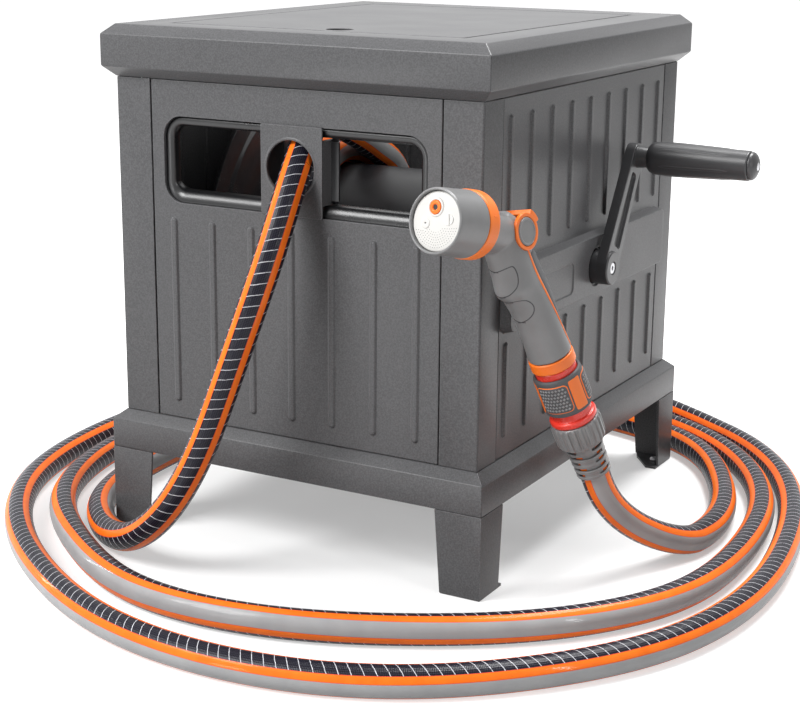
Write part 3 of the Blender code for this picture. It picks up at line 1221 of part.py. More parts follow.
def hoses(cabinet, reel_axis, handle_matrix):
    wound, outward = wound_points()
    tube("wound_hose", "hose", reel_axis, wound, HOSE_RADIUS, resolution=1)
    print(f"wound hose: least gap to itself {least_gap(wound, HOSE_DIAMETER) / MM:.2f} mm")

    reel_centre = Vector((0, REEL_Y, REEL_Z))
    start = reel_centre + wound[-1] + outward * GAP
    millimetres = ROUTE_TO_GUIDE + ROUTE_THROUGH_GUIDE + ROUTE_FIRST_ROUND
    millimetres += ROUTE_SECOND_ROUND + ROUTE_THIRD_ROUND + ROUTE_RISE
    route = [tuple(start), tuple(start + outward * HOSE_DIAMETER)]
    route += [tuple(v * MM for v in point) for point in millimetres]
    near_sleeve = (SLEEVE_END + 20 * MM, SLEEVE_END + 4 * MM)
    route += [tuple(handle_matrix @ Vector((0, 0, -down))) for down in near_sleeve]
    seat = handle_matrix @ Vector((0, 0, -(HOSE_SEAT_AT + GAP)))
    fine = fine_route(route)
    guide = tuple(v * MM for v in ROUTE_THROUGH_GUIDE[0])
    landing = tuple(v * MM for v in ROUTE_FIRST_ROUND[4])
    rise = tuple(v * MM for v in ROUTE_THIRD_ROUND[-1])
    inner, rest = cut_after(fine, guide)
    drop, rest = cut_after(rest, landing)
    rounds, riser = cut_after(rest, rise)
    close, wide = FREE_SPACING, FLOOR_SPACING
    inner_points, drop_points = shortened(spaced(inner, close)), shortened(spaced(drop, close))
    floor_points = [*spaced(rounds, wide), *spaced(riser, close)[1:], seat]
    tube("hose_inner", "hose", cabinet, inner_points, HOSE_RADIUS)
    tube("hose_drop", "hose", cabinet, drop_points, HOSE_RADIUS)
    tube("hose_floor", "hose", cabinet, floor_points, HOSE_RADIUS)
    length = np.linalg.norm(np.diff(fine, axis=0), axis=1).sum()
    print(f"free hose: {length:.3f} m, {len(inner_points) + len(drop_points) + len(floor_points)} points")


def main():
    cabinet = empty("cabinet", None, (SHIFT_X, 0, 0))
    cabinet_pieces(cabinet)
    reel_axis = empty("reel_axis", cabinet, (0, REEL_Y, REEL_Z))
    reel(reel_axis)
    bearings_and_inlet(cabinet)
    crank(reel_axis)
    gun = empty("gun_frame", cabinet, GUN_PIVOT, GUN_TURN)
    handle = empty("handle_axis", gun, (0, HANDLE_START_Y, 0), (HANDLE_TILT, 0, 0))
    gun_pieces(gun, handle)
    bpy.context.view_layer.update()
    hoses(cabinet, reel_axis, cabinet.matrix_world.inverted() @ handle.matrix_world)


main()
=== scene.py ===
"""Looks of the hose reel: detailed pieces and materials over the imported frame."""

import math

import bmesh
import bpy
import numpy as np
from mathutils import Euler, Matrix, Vector
from mathutils.geometry import delaunay_2d_cdt


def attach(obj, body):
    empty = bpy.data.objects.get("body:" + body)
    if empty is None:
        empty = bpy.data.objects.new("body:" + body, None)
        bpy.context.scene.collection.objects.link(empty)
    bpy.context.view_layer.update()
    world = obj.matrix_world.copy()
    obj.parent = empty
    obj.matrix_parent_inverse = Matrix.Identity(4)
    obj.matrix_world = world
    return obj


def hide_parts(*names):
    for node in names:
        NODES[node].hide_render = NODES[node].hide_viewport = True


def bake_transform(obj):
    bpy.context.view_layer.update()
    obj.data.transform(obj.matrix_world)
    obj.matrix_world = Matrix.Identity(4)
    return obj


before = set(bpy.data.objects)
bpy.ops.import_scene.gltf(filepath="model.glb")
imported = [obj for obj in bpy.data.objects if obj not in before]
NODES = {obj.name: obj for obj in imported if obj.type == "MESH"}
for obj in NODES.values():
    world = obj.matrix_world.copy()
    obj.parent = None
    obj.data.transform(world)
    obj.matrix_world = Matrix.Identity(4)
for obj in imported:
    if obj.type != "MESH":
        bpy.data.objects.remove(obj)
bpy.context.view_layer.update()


# Frames in millimetres, each inside the one before it


def move(x, y, z):
    return Matrix.Translation((x, y, z))


def turn(degrees, axis):
    return Matrix.Rotation(math.radians(degrees), 4, axis)


def upright(along, out, place=(0, 0, 0)):
    """A frame that stands up: its X and Z along given directions, and its Y upwards."""
    made = Matrix((along, (0, 0, 1), out)).transposed().to_4x4()
    made.translation = place
    return made


AXLE = (0, 6, 257)
CRANK_REACH = 114.9
PANEL_X, PANEL_Y = 189.6, 222.6
CABINET = Matrix.Scale(0.001, 4) @ move(-50.5, 0, 0)
REEL = CABINET @ move(*AXLE)
CRANK = REEL @ turn(-30.5, "X")
GRIP = CRANK @ move(225, 0, CRANK_REACH)
GUN_TURN = Euler([math.radians(a) for a in (-7.9, -9.84, -9.44)])
GUN = CABINET @ move(210.8, -211.5, 326.3) @ GUN_TURN.to_matrix().to_4x4()
HANDLE = GUN @ move(0, -8.6, 0) @ turn(30, "X")
HEAD = GUN @ move(0, -58.5, 6.6) @ turn(86.3, "X")
TO_RIGHT = turn(90, "Y")
TO_LEFT = turn(-90, "Y")
IN_YZ = upright((0, 1, 0), (1, 0, 0))
FRONT_FACE = upright((1, 0, 0), (0, 1, 0), (0, -PANEL_Y, 0))
BACK_FACE = upright((1, 0, 0), (0, -1, 0), (0, PANEL_Y, 0))
RIGHT_FACE = upright((0, 1, 0), (-1, 0, 0), (PANEL_X, 0, 0))
LEFT_FACE = upright((0, 1, 0), (1, 0, 0), (-PANEL_X, 0, 0))


def placed(name, data):
    """A new object in the scene."""
    obj = bpy.data.objects.new(name, data)
    bpy.context.scene.collection.objects.link(obj)
    return obj


# Camera, in metres

LENS = 77.252
CAMERA_PLACE = (0.7698, -1.4858, 0.5943)
CAMERA_RIGHT, CAMERA_UP = (0.8712, 0.4909, 0.0088), (-0.1335, 0.2196, 0.9664)


def make_camera():
    data = bpy.data.cameras.new("camera")
    data.sensor_width = 36
    data.lens = LENS
    data.clip_start = 0.05
    camera = placed("camera", data)
    right = Vector(CAMERA_RIGHT).normalized()
    back = right.cross(Vector(CAMERA_UP)).normalized()
    place = Matrix((right, back.cross(right), back)).transposed().to_4x4()
    place.translation = CAMERA_PLACE
    camera.matrix_world = place
    bpy.context.scene.camera = camera
    return back


TO_CAMERA = make_camera()


# Materials


def add_node(tree, kind, inputs=None, **settings):
    """A shader node with its settings, and its inputs set or linked."""
    made = tree.nodes.new("ShaderNode" + kind)
    for key, value in settings.items():
        setattr(made, key, value)
    for key, value in (inputs or {}).items():
        if isinstance(value, bpy.types.NodeSocket):
            tree.links.new(value, made.inputs[key])
        else:
            made.inputs[key].default_value = value
    return made


class Finish:
    """A node material that is built step by step."""

    def __init__(self, name, **fixed):
        self.material = bpy.data.materials.new(name)
        self.material.use_nodes = True
        self.tree = self.material.node_tree
        self.shader = self.tree.nodes["Principled BSDF"]
        for socket, value in fixed.items():
            self.shader.inputs[socket.replace("_", " ")].default_value = value
        self.place = self.node("TexCoord").outputs["Object"]

    def node(self, kind, inputs=None, **settings):
        return add_node(self.tree, kind, inputs, **settings)

    def noise(self, scale, detail=2, roughness=0.5, place=None):
        values = {"Vector": place or self.place, "Scale": scale, "Detail": detail, "Roughness": roughness}
        return self.node("TexNoise", values).outputs["Fac"]

    def math(self, operation, a, b=0.0, c=0.0):
        return self.node("Math", {0: a, 1: b, 2: c}, operation=operation).outputs[0]

    def times(self, a, b):
        return self.math("MULTIPLY", a, b)

    def plus(self, a, b):
        return self.math("ADD", a, b)

    def minus(self, a, b):
        return self.math("SUBTRACT", a, b)

    def within(self, value, low, high, start=0.0, end=1.0):
        values = {"Value": value, "From Min": low, "From Max": high, "To Min": start, "To Max": end}
        return self.node("MapRange", values, interpolation_type="SMOOTHSTEP").outputs[0]

    def mix(self, amount, a, b):
        made = self.node("Mix", {0: amount}, data_type="RGBA")
        for place, value in ((6, a), (7, b)):
            if isinstance(value, bpy.types.NodeSocket):
                self.tree.links.new(value, made.inputs[place])
            else:
                made.inputs[place].default_value = (*value, 1)
        return made.outputs[2]

    def edges(self, radius):
        """1 on the piece's convex and concave edges, and 0 on its faces."""
        soft = self.node("Bevel", {"Radius": radius}, samples=4).outputs["Normal"]
        plain = self.node("NewGeometry").outputs["Normal"]
        dot = self.node("VectorMath", {0: soft, 1: plain}, operation="DOT_PRODUCT").outputs["Value"]
        return self.within(dot, 0.995, 0.9)

    def bump(self, height, distance, strength=1.0, under=None):
        values = {"Height": height, "Distance": distance, "Strength": strength}
        if under is not None:
            values["Normal"] = under
        return self.node("Bump", values).outputs["Normal"]

    def finish(self, colour=None, roughness=None, normal=None, **others):
        named = {"Base Color": colour, "Roughness": roughness, "Normal": normal}
        named.update({key.replace("_", " "): value for key, value in others.items()})
        for key, value in named.items():
            if value is not None:
                self.tree.links.new(value, self.shader.inputs[key])
        return self.material


def powder_coat():
    """Fine-textured anthracite powder coat, lighter along its edges in patches: part wear, part painted
    highlight.
    """
    f = Finish("powder_coat", Specular_IOR_Level=0.2)
    grain = f.noise(720, 3, 0.6)
    cloud = f.noise(14, 3)
    # edges lightened in noisy patches: part wear, part painted highlight
    worn_and_lit_edges = f.times(f.edges(0.0012), f.within(f.noise(90, 3), 0.35, 0.7))
    colour = f.mix(f.within(grain, 0.3, 0.72), (0.068, 0.068, 0.0705), (0.108, 0.108, 0.112))
    colour = f.mix(f.within(cloud, 0.3, 0.75, 0, 0.2), colour, (0.098, 0.098, 0.102))
    colour = f.mix(f.times(worn_and_lit_edges, 0.45), colour, (0.30, 0.30, 0.31))
    rough = f.within(f.plus(grain, cloud), 0.6, 1.4, 0.32, 0.39)
    return f.finish(colour, f.minus(rough, f.times(worn_and_lit_edges, 0.08)), f.bump(grain, 0.00007, 0.5))


def moulded(name, dark, light, low=0.36, high=0.5, scale=900, bump=0.00006, edge_wear_and_highlight=0.2):
    """Moulded plastic with a fine grain, faint flow marks, and edges painted lighter: part wear, part
    painted highlight.
    """
    f = Finish(name)
    grain = f.noise(scale, 2)
    flow = f.noise(22, 4, 0.6)
    # edges lightened evenly: part wear, part painted highlight
    worn_and_lit_edges = f.times(f.edges(0.0009), edge_wear_and_highlight)
    lighter = tuple(min(1, 1.3 * c + 0.05) for c in light)
    colour = f.mix(f.within(flow, 0.25, 0.8), dark, light)
    colour = f.mix(worn_and_lit_edges, colour, lighter)
    rough = f.within(f.plus(flow, f.times(grain, 0.5)), 0.4, 1.1, low, high)
    return f.finish(colour, rough, f.bump(grain, bump, 0.6))


def metal(name, dark, light, low, high):
    """Drawn or turned metal with fine scratches, a dulled skin and a painted highlight along its edges."""
    f = Finish(name, Metallic=1.0)
    stretched = f.node("Mapping", {"Vector": f.place, "Scale": (0.08, 1, 1)}).outputs[0]
    scratch = f.noise(1400, 3, 0.7, stretched)
    dull = f.noise(60, 4, 0.6)
    colour = f.mix(f.within(dull, 0.3, 0.75), dark, light)
    # edges lightened as a painted highlight
    colour = f.mix(f.times(f.edges(0.0006), 0.4), colour, tuple(min(1, c * 1.25) for c in light))
    rough = f.within(f.plus(scratch, dull), 0.6, 1.4, low, high)
    return f.finish(colour, rough, f.bump(scratch, 0.00004, 0.5))


def hose_skin():
    """Clear-skinned hose: a woven dark net with white helical threads, four orange stripes and one
    plain grey side. The UV map has the turn round the hose in U and metres along it in V."""
    f = Finish("hose", Coat_Weight=0.2, Coat_Roughness=0.1, Specular_IOR_Level=0.08)
    uv = f.node("SeparateXYZ", {0: f.node("UVMap", uv_map="hose").outputs[0]})
    u, v = uv.outputs[0], uv.outputs[1]
    sector = f.math("FRACT", f.math("MULTIPLY_ADD", u, 4.0, 0.5))
    from_stripe = f.minus(0.5, f.math("ABSOLUTE", f.minus(sector, 0.5)))
    ragged = f.times(f.noise(700, 2), 0.006)
    from_stripe = f.minus(from_stripe, ragged)
    stripe = f.within(from_stripe, 0.142, 0.132)
    rim = f.within(from_stripe, 0.166, 0.156)
    wrapped = f.math("ABSOLUTE", f.minus(f.math("FRACT", f.plus(u, 0.5)), 0.5))
    plain = f.within(wrapped, 0.127, 0.123)
    along = f.times(v, 104.0)
    turns = f.minus(along, f.times(u, 4.0))
    wobble = f.times(f.noise(260, 2), 0.1)
    thread = f.math("ABSOLUTE", f.minus(f.math("FRACT", f.plus(turns, wobble)), 0.5))
    broken = f.within(f.noise(900, 1), 0.2, 0.42)
    white = f.times(f.within(thread, 0.045, 0.022), broken)
    one = f.math("SINE", f.plus(f.times(v, 2300.0), f.times(u, 150.8)))
    two = f.math("SINE", f.minus(f.times(v, 2300.0), f.times(u, 150.8)))
    weave = f.times(one, two)
    blotch = f.noise(120, 3)
    net = f.mix(f.within(weave, -0.5, 0.8), (0.0015, 0.0015, 0.003), (0.024, 0.0225, 0.038))
    net = f.mix(f.within(blotch, 0.4, 0.75, 0, 0.45), net, (0.010, 0.010, 0.018))
    net = f.mix(f.times(white, 0.95), net, (0.66, 0.66, 0.7))
    grey = f.mix(f.within(f.noise(40, 3), 0.3, 0.7), (0.33, 0.33, 0.335), (0.365, 0.365, 0.37))
    body = f.mix(plain, net, grey)
    body = f.mix(rim, body, (0.72, 0.075, 0.03))
    orange = f.mix(f.within(f.noise(55, 2), 0.3, 0.7), (0.90, 0.165, 0.010), (0.97, 0.195, 0.014))
    colour = f.mix(stripe, body, orange)
    netted = f.times(f.minus(1.0, plain), f.minus(1.0, rim))
    relief = f.times(f.plus(f.times(weave, 0.5), f.times(white, 1.5)), netted)
    relief = f.plus(relief, f.times(f.noise(180, 3), 0.6))
    rough = f.minus(0.46, f.times(netted, 0.14))
    skin = f.bump(relief, 0.00016, 0.8)
    return f.finish(colour, rough, skin, Coat_Normal=skin)


# Each plastic's dark and light colour, its least and most roughness, its grain's scale and height, and how
# much its edges are lightened, part wear and part painted highlight, where that isn't the usual amount
PLASTICS = {
    "black_plastic": ((0.014, 0.014, 0.016), (0.026, 0.026, 0.029)),
    # the crank's black plastic lifted lighter as painted light, with edges lightened more: part wear, part
    # painted highlight
    "crank": ((0.03, 0.03, 0.032), (0.045, 0.045, 0.048), 0.32, 0.42, 900, 0.00008, 0.5),
    # the window lip's powder coat, darkened to near black as painted shade inside the window
    "lip_painted_shade": ((0.006, 0.006, 0.007), (0.012, 0.012, 0.013), 0.26, 0.34),
    # the flanges' black plastic made lighter and glossier: the lighter colour is painted light in the dark
    # cabinet
    "reel_plastic_painted_light": ((0.035, 0.035, 0.038), (0.055, 0.055, 0.058), 0.2, 0.3),
    "gun_grey": ((0.18, 0.18, 0.182), (0.215, 0.215, 0.218), 0.28, 0.38, 1300, 0.00008, 0.12),
    "dark_insert": ((0.055, 0.056, 0.06), (0.078, 0.078, 0.082), 0.55, 0.68, 1600, 0.00014, 0.15),
    "orange": ((0.86, 0.165, 0.012), (0.93, 0.205, 0.018), 0.34, 0.46, 800, 0.00003, 0.08),
    "red": ((0.74, 0.035, 0.02), (0.82, 0.05, 0.03), 0.22, 0.34, 500, 0.00002, 0.1),
    "white": ((0.60, 0.59, 0.565), (0.66, 0.65, 0.63), 0.42, 0.54, 900, 0.00003, 0.3),
    "seal": ((0.008, 0.008, 0.008), (0.016, 0.016, 0.016), 0.6, 0.75),
}
MATERIALS = {name: moulded(name, *values) for name, values in PLASTICS.items()}
MATERIALS["powder_coat"] = powder_coat()
MATERIALS["zinc"] = metal("zinc", (0.42, 0.42, 0.44), (0.66, 0.66, 0.68), 0.24, 0.42)
MATERIALS["brass"] = metal("brass", (0.5, 0.33, 0.12), (0.78, 0.56, 0.26), 0.22, 0.4)
MATERIALS["hose"] = hose_skin()


# Shapes


def soften(points, radius, closed=False, least=12):
    """Points with each corner rounded by a short curve."""
    points = [Vector((p[0], p[1])) for p in points]
    made = []
    for i, at in enumerate(points):
        if not closed and i in (0, len(points) - 1):
            made.append(at)
            continue
        a, b = points[i - 1] - at, points[(i + 1) % len(points)] - at
        if a.length < 1e-9 or b.length < 1e-9 or math.degrees(a.angle(-b)) < least:
            made.append(at)
            continue
        reach = min(radius, 0.45 * a.length, 0.45 * b.length)
        start, end = at + a.normalized() * reach, at + b.normalized() * reach
        for t in (0, 1 / 3, 2 / 3, 1):
            made.append((1 - t) ** 2 * start + 2 * t * (1 - t) * at + t * t * end)
    return made


def oval(left, right, low, high, corner, steps=8):
    """A rectangle with round corners, anticlockwise."""
    r = min(corner, 0.49 * (right - left), 0.49 * (high - low))
    corners = ((right - r, high - r), (left + r, high - r), (left + r, low + r), (right - r, low + r))
    return [p for k, (x, y) in enumerate(corners) for p in arc(x, y, r, 90 * k, 90 * k + 90, steps)]


def circle(x, y, radius, steps=48):
    turns = [2 * math.pi * k / steps for k in range(steps)]
    return [Vector((x + radius * math.cos(a), y + radius * math.sin(a))) for a in turns]


def arc(x, y, radius, start, end, steps):
    turns = [math.radians(start + (end - start) * k / steps) for k in range(steps + 1)]
    return [Vector((x + radius * math.cos(a), y + radius * math.sin(a))) for a in turns]


def inward(loop, distance):
    """An anticlockwise outline moved inwards."""
    made = []
    for i, at in enumerate(loop):
        a, b = (at - loop[i - 1]).normalized(), (loop[(i + 1) % len(loop)] - at).normalized()
        made.append(at + Vector((-(a.y + b.y), a.x + b.x)) * (distance / max(1 + a.dot(b), 0.35)))
    return made


def shrunk(box, inset, steps=8):
    """The oval of (left, right, low, high, corner), made smaller by an inset."""
    left, right, low, high, corner = box
    return oval(left + inset, right - inset, low + inset, high - inset, corner - inset, steps)


def stepped(box, section, steps=8):
    """Rings round an oval that follow a section of (inset, depth) points."""
    return [[(*p, depth) for p in shrunk(box, inset, steps)] for inset, depth in section]


def polar(radius, angle, height):
    return (radius * math.cos(angle), radius * math.sin(angle), height)


def eased(t):
    """Runs smoothly from 0 to 1 and stays there."""
    t = np.clip(t, 0, 1)
    return t * t * (3 - 2 * t)


def fill(loops):
    """Triangles inside the first outline and outside the others, as places in their joined list."""
    flat = [Vector((p[0], p[1])) for loop in loops for p in loop]
    edges, base = [], 0
    for loop in loops:
        edges += [(base + i, base + (i + 1) % len(loop)) for i in range(len(loop))]
        base += len(loop)
    out, _, faces, origin, _, _ = delaunay_2d_cdt(flat, edges, [], 0, 1e-7)
    x1, y1, x2, y2 = np.array([[*flat[a], *flat[b]] for a, b in edges]).T
    kept = []
    for face in faces:
        middle = sum((out[i] for i in face), Vector((0, 0))) / len(face)
        crossing = (y1 > middle.y) != (y2 > middle.y)
        at = x1 + (middle.y - y1) * (x2 - x1) / np.where(y2 == y1, 1, y2 - y1)
        if (crossing & (middle.x < at)).sum() % 2:
            kept.append([origin[i][0] for i in face])
    return kept


class Shape:
    """Surfaces in millimetres, in one frame, that make up a piece."""

    def __init__(self):
        self.points, self.faces = [], []

    def add(self, points, faces, place=None):
        base = len(self.points)
        self.points += [place @ Vector(p) if place else Vector(p) for p in points]
        self.faces += [tuple(base + i for i in face) for face in faces]
        return self

    def rings(self, rings, place=None, loop=False, caps=(False, False)):
        """Quads between rings of as many points each."""
        count = len(rings[0])
        faces = []
        for i in range(len(rings) if loop else len(rings) - 1):
            a, b = i * count, ((i + 1) % len(rings)) * count
            faces += [(a + k, a + (k + 1) % count, b + (k + 1) % count, b + k) for k in range(count)]
        if caps[0]:
            faces.append(tuple(range(count)))
        if caps[1]:
            faces.append(tuple(range((len(rings) - 1) * count, len(rings) * count)))
        return self.add([p for ring in rings for p in ring], faces, place)

    def turned(self, profile, place=None, steps=56, ring=False, soft=0.5):
        """A body turned about local Z from (radius, height) points."""
        profile = soften(profile, soft, closed=ring)
        ends = [not ring and p[0] < 1e-6 for p in (profile[0], profile[-1])]
        inner = profile[1 if ends[0] else 0 : -1 if ends[1] else None]
        turns = [2 * math.pi * k / steps for k in range(steps)]
        rings = [[polar(r, a, z) for a in turns] for r, z in inner]
        return self.rings(rings, place, loop=ring, caps=ends)

    def plate(self, outline, low, high, place=None, edge=0.5, holes=()):
        """A plate between two heights with softened edges, with anticlockwise outlines."""
        outline = [Vector((p[0], p[1])) for p in outline]
        section = [(edge, low), (0.3 * edge, low + 0.3 * edge), (0, low + edge)]
        section += [(0, high - edge), (0.3 * edge, high - 0.3 * edge), (edge, high)]
        loops = [(outline, 1)] + [(hole, -1) for hole in holes]
        for loop, side in loops:
            self.rings([[(*p, z) for p in inward(loop, side * inset)] for inset, z in section], place)
        return self.flat([inward(loop, side * edge) for loop, side in loops], low, high, place=place)

    def flat(self, loops, *heights, place=None):
        """Faces at given heights, inside the first outline and outside the others."""
        faces = fill(loops)
        for height in heights:
            self.add([(*p[:2], height) for loop in loops for p in loop], faces, place)
        return self

    def grid(self, rows, place=None):
        """Quads between rows of as many points each."""
        count = len(rows[0])
        faces = [
            (i * count + k, i * count + k + 1, (i + 1) * count + k + 1, (i + 1) * count + k)
            for i in range(len(rows) - 1)
            for k in range(count - 1)
        ]
        return self.add([p for row in rows for p in row], faces, place)


def dress(obj, kind, body, nodes=(), finish=None):
    """Gives a piece its material, hides the CAD parts it stands in for, and hangs it from its body."""
    obj.data.materials.clear()
    obj.data.materials.append(MATERIALS[finish or kind])
    if nodes:
        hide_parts(*nodes)
    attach(obj, body)
    return obj


def object_from(shape, name, place, sharp=34, outward=None):
    """A mesh object from a shape, with its doubled points joined."""
    mesh = bpy.data.meshes.new(name)
    mesh.from_pydata([place @ p for p in shape.points], [], shape.faces)
    made = bmesh.new()
    made.from_mesh(mesh)
    bmesh.ops.remove_doubles(made, verts=made.verts, dist=2e-6)
    bmesh.ops.dissolve_degenerate(made, dist=1e-6, edges=made.edges)
    bmesh.ops.recalc_face_normals(made, faces=made.faces)
    if outward is not None:
        total = sum((face.normal * face.calc_area() for face in made.faces), Vector())
        if total.dot(outward) < 0:
            bmesh.ops.reverse_faces(made, faces=made.faces)
    made.to_mesh(mesh)
    made.free()
    mesh.shade_smooth()
    mesh.set_sharp_from_angle(angle=math.radians(sharp))
    obj = placed(name, mesh)
    return obj


def piece(shape, name, place, kind, body, *nodes, sharp=34, finish=None):
    """A finished piece of the model, in place of the CAD parts of those nodes."""
    obj = dress(object_from(shape, name, place, sharp), kind, body, nodes, finish)
    even_shading(obj)
    return obj


def spun(node, profile, place, kind, body, turned_by=None, steps=56, ring=False, soft=0.5, finish=None):
    """A piece turned about one axis, in place of one CAD part."""
    shape = Shape().turned(profile, turned_by, steps, ring, soft)
    return piece(shape, f"{node}_fine", place, kind, body, node, finish=finish)


def thickened(obj, thickness, offset):
    sheet = obj.modifiers.new("sheet", "SOLIDIFY")
    sheet.thickness = thickness
    sheet.offset = offset


def even_shading(obj):
    modifier = obj.modifiers.new("even shading", "WEIGHTED_NORMAL")
    modifier.keep_sharp = True


def refined(node, kind, body, edge=0.8, segments=3):
    """A finer copy of a CAD part: its flat faces joined and its edges rounded."""
    mesh = NODES[node].data.copy()
    made = bmesh.new()
    made.from_mesh(mesh)
    bmesh.ops.remove_doubles(made, verts=made.verts, dist=2e-6)
    bmesh.ops.dissolve_limit(made, angle_limit=math.radians(1.5), verts=made.verts, edges=made.edges)
    made.to_mesh(mesh)
    made.free()
    mesh.shade_smooth()
    obj = placed(f"{node}_fine", mesh)
    obj.matrix_world = NODES[node].matrix_world
    bevel = obj.modifiers.new("edges", "BEVEL")
    bevel.width = edge * 0.001
    bevel.segments = segments
    bevel.limit_method = "ANGLE"
    bevel.angle_limit = math.radians(25)
    bevel.harden_normals = True
    return dress(obj, kind, body, [node])


def applied(obj):
    """The object with its modifiers made part of its mesh."""
    bpy.context.view_layer.update()
    graph = bpy.context.evaluated_depsgraph_get()
    mesh = bpy.data.meshes.new_from_object(obj.evaluated_get(graph))
    obj.modifiers.clear()
    old, obj.data = obj.data, mesh
    bpy.data.meshes.remove(old)
    return obj


# Hose, in millimetres in the cabinet's frame

HOSE = 13.5
CORE_RADIUS = 76.5
WOUND_TURNS, WOUND_PITCH = 2, 28
WOUND_EXIT_X, WOUND_EXIT_ANGLE = -57.5, 24
WOUND_FROM = WOUND_EXIT_ANGLE + 360 * WOUND_TURNS
GUIDE_POINT = (8, -224, 366)
LANDING = (-260, -38, HOSE)
ROUTE = [
    (-55, -63, 387), (-32, -126, 408), (-6, -178, 397), (8, -224, 366), (10, -269, 300),
    (-3, -291, 235), (-22, -301, 174), (-42, -314, 113), (-71, -323, 62), (-118, -313, 26),
    (-176, -279, HOSE), (-218, -233, HOSE), (-250, -150, HOSE), (-260, -38, HOSE), (-257, 70, HOSE),
    (-244, 154, 14), (-233, 208, 20), (-211, 254, 31), (-171, 289, 41), (-110, 327, 45),
    (-28, 356, 43), (40, 365, 34), (99, 360, 26), (219, 317, 14), (312, 231, HOSE),
    (371, 117, HOSE), (402, -8, HOSE), (411, -134, HOSE), (384, -258, HOSE), (313, -363, HOSE),
    (212, -440, HOSE), (90, -471, HOSE), (-35, -455, HOSE), (-149, -399, HOSE), (-248, -319, HOSE),
    (-323, -217, HOSE), (-360, -96, HOSE), (-365, 30, HOSE), (-343, 155, HOSE), (-280, 265, HOSE),
    (-172, 330, HOSE), (-47, 350, HOSE), (79, 337, HOSE), (200, 292, HOSE), (292, 206, HOSE),
    (348, 92, HOSE), (368, -35, HOSE), (356, -161, HOSE), (289, -268, HOSE), (187, -343, HOSE),
    (69, -389, HOSE), (-56, -387, HOSE), (-168, -327, HOSE), (-260, -240, HOSE), (-312, -125, HOSE),
    (-325, 1, HOSE), (-311, 128, HOSE), (-258, 242, HOSE), (-147, 309, HOSE), (-19, 317, HOSE),
    (108, 297, HOSE), (222, 241, HOSE), (290, 139, HOSE), (317, 62, HOSE), (318, -31, 15),
    (296, -77, 33),
]
# The grey side's tilt above straight outwards, in degrees, near points of the route
TILTS = [
    ((-176, -279, 13), 150), ((-250, -150, 13), 155), ((-244, 154, 14), 150), ((-110, 327, 45), 90),
    ((99, 360, 26), 10), ((371, 117, 13), -6), ((384, -258, 13), -14), ((90, -471, 13), -20),
    ((-149, -399, 13), -14), ((-360, -96, 13), -6), ((-47, 350, 13), 0), ((368, -35, 13), -2),
    ((289, -268, 13), 14), ((69, -389, 13), 26), ((-168, -327, 13), 14), ((-312, -125, 13), -8),
    ((-19, 317, 13), 0), ((317, 62, 13), -10), ((318, -31, 15), -8),
]


def smooth_route(points, step=2.0):
    """Close points on a natural cubic spline through the route, none of them under the floor."""
    points = np.array(points, float)
    knots = np.concatenate([[0], np.cumsum(np.linalg.norm(np.diff(points, axis=0), axis=1))])
    count, gap = len(points), np.diff(knots)
    system, right = np.eye(count), np.zeros((count, 3))
    slope = np.diff(points, axis=0) / gap[:, None]
    for i in range(1, count - 1):
        system[i, i - 1 : i + 2] = gap[i - 1], 2 * (gap[i - 1] + gap[i]), gap[i]
        right[i] = 6 * (slope[i] - slope[i - 1])
    bend = np.linalg.solve(system, right)
    made = []
    for t in [*np.arange(0, knots[-1], step), knots[-1]]:
        i = int(np.clip(np.searchsorted(knots, t, side="right") - 1, 0, count - 2))
        h, a, b = gap[i], knots[i + 1] - t, t - knots[i]
        cubic = (bend[i] * a**3 + bend[i + 1] * b**3) / (6 * h)
        start, end = points[i] / h - bend[i] * h / 6, points[i + 1] / h - bend[i + 1] * h / 6
        made.append(cubic + start * a + end * b)
    made = np.array(made)
    made[:, 2] = np.maximum(made[:, 2], HOSE)
    return made


def run_of(points):
    return np.concatenate([[0], np.cumsum(np.linalg.norm(np.diff(points, axis=0), axis=1))])


def spread(points, spacing):
    """Evenly spaced points along a fine line."""
    run = run_of(points)
    wanted = np.linspace(0, run[-1], max(3, round(run[-1] / spacing) + 1))
    return np.stack([np.interp(wanted, run, points[:, k]) for k in range(3)], axis=1)


def nearest(points, place):
    return int(np.argmin(np.linalg.norm(points - np.array(place), axis=1)))


def unit(vectors):
    return vectors / np.linalg.norm(vectors, axis=-1, keepdims=True)


def tangents(points):
    return unit(np.gradient(points, axis=0))


def drum_point(turned):
    """A point of the wound hose's middle line, after so many degrees of winding."""
    radius = (CORE_RADIUS + 0.3 + HOSE) / math.cos(math.pi / 24)
    a = math.radians(turned)
    x = WOUND_EXIT_X - WOUND_PITCH * (turned - WOUND_EXIT_ANGLE) / 360
    return np.array((x, radius * math.sin(a), radius * math.cos(a)))


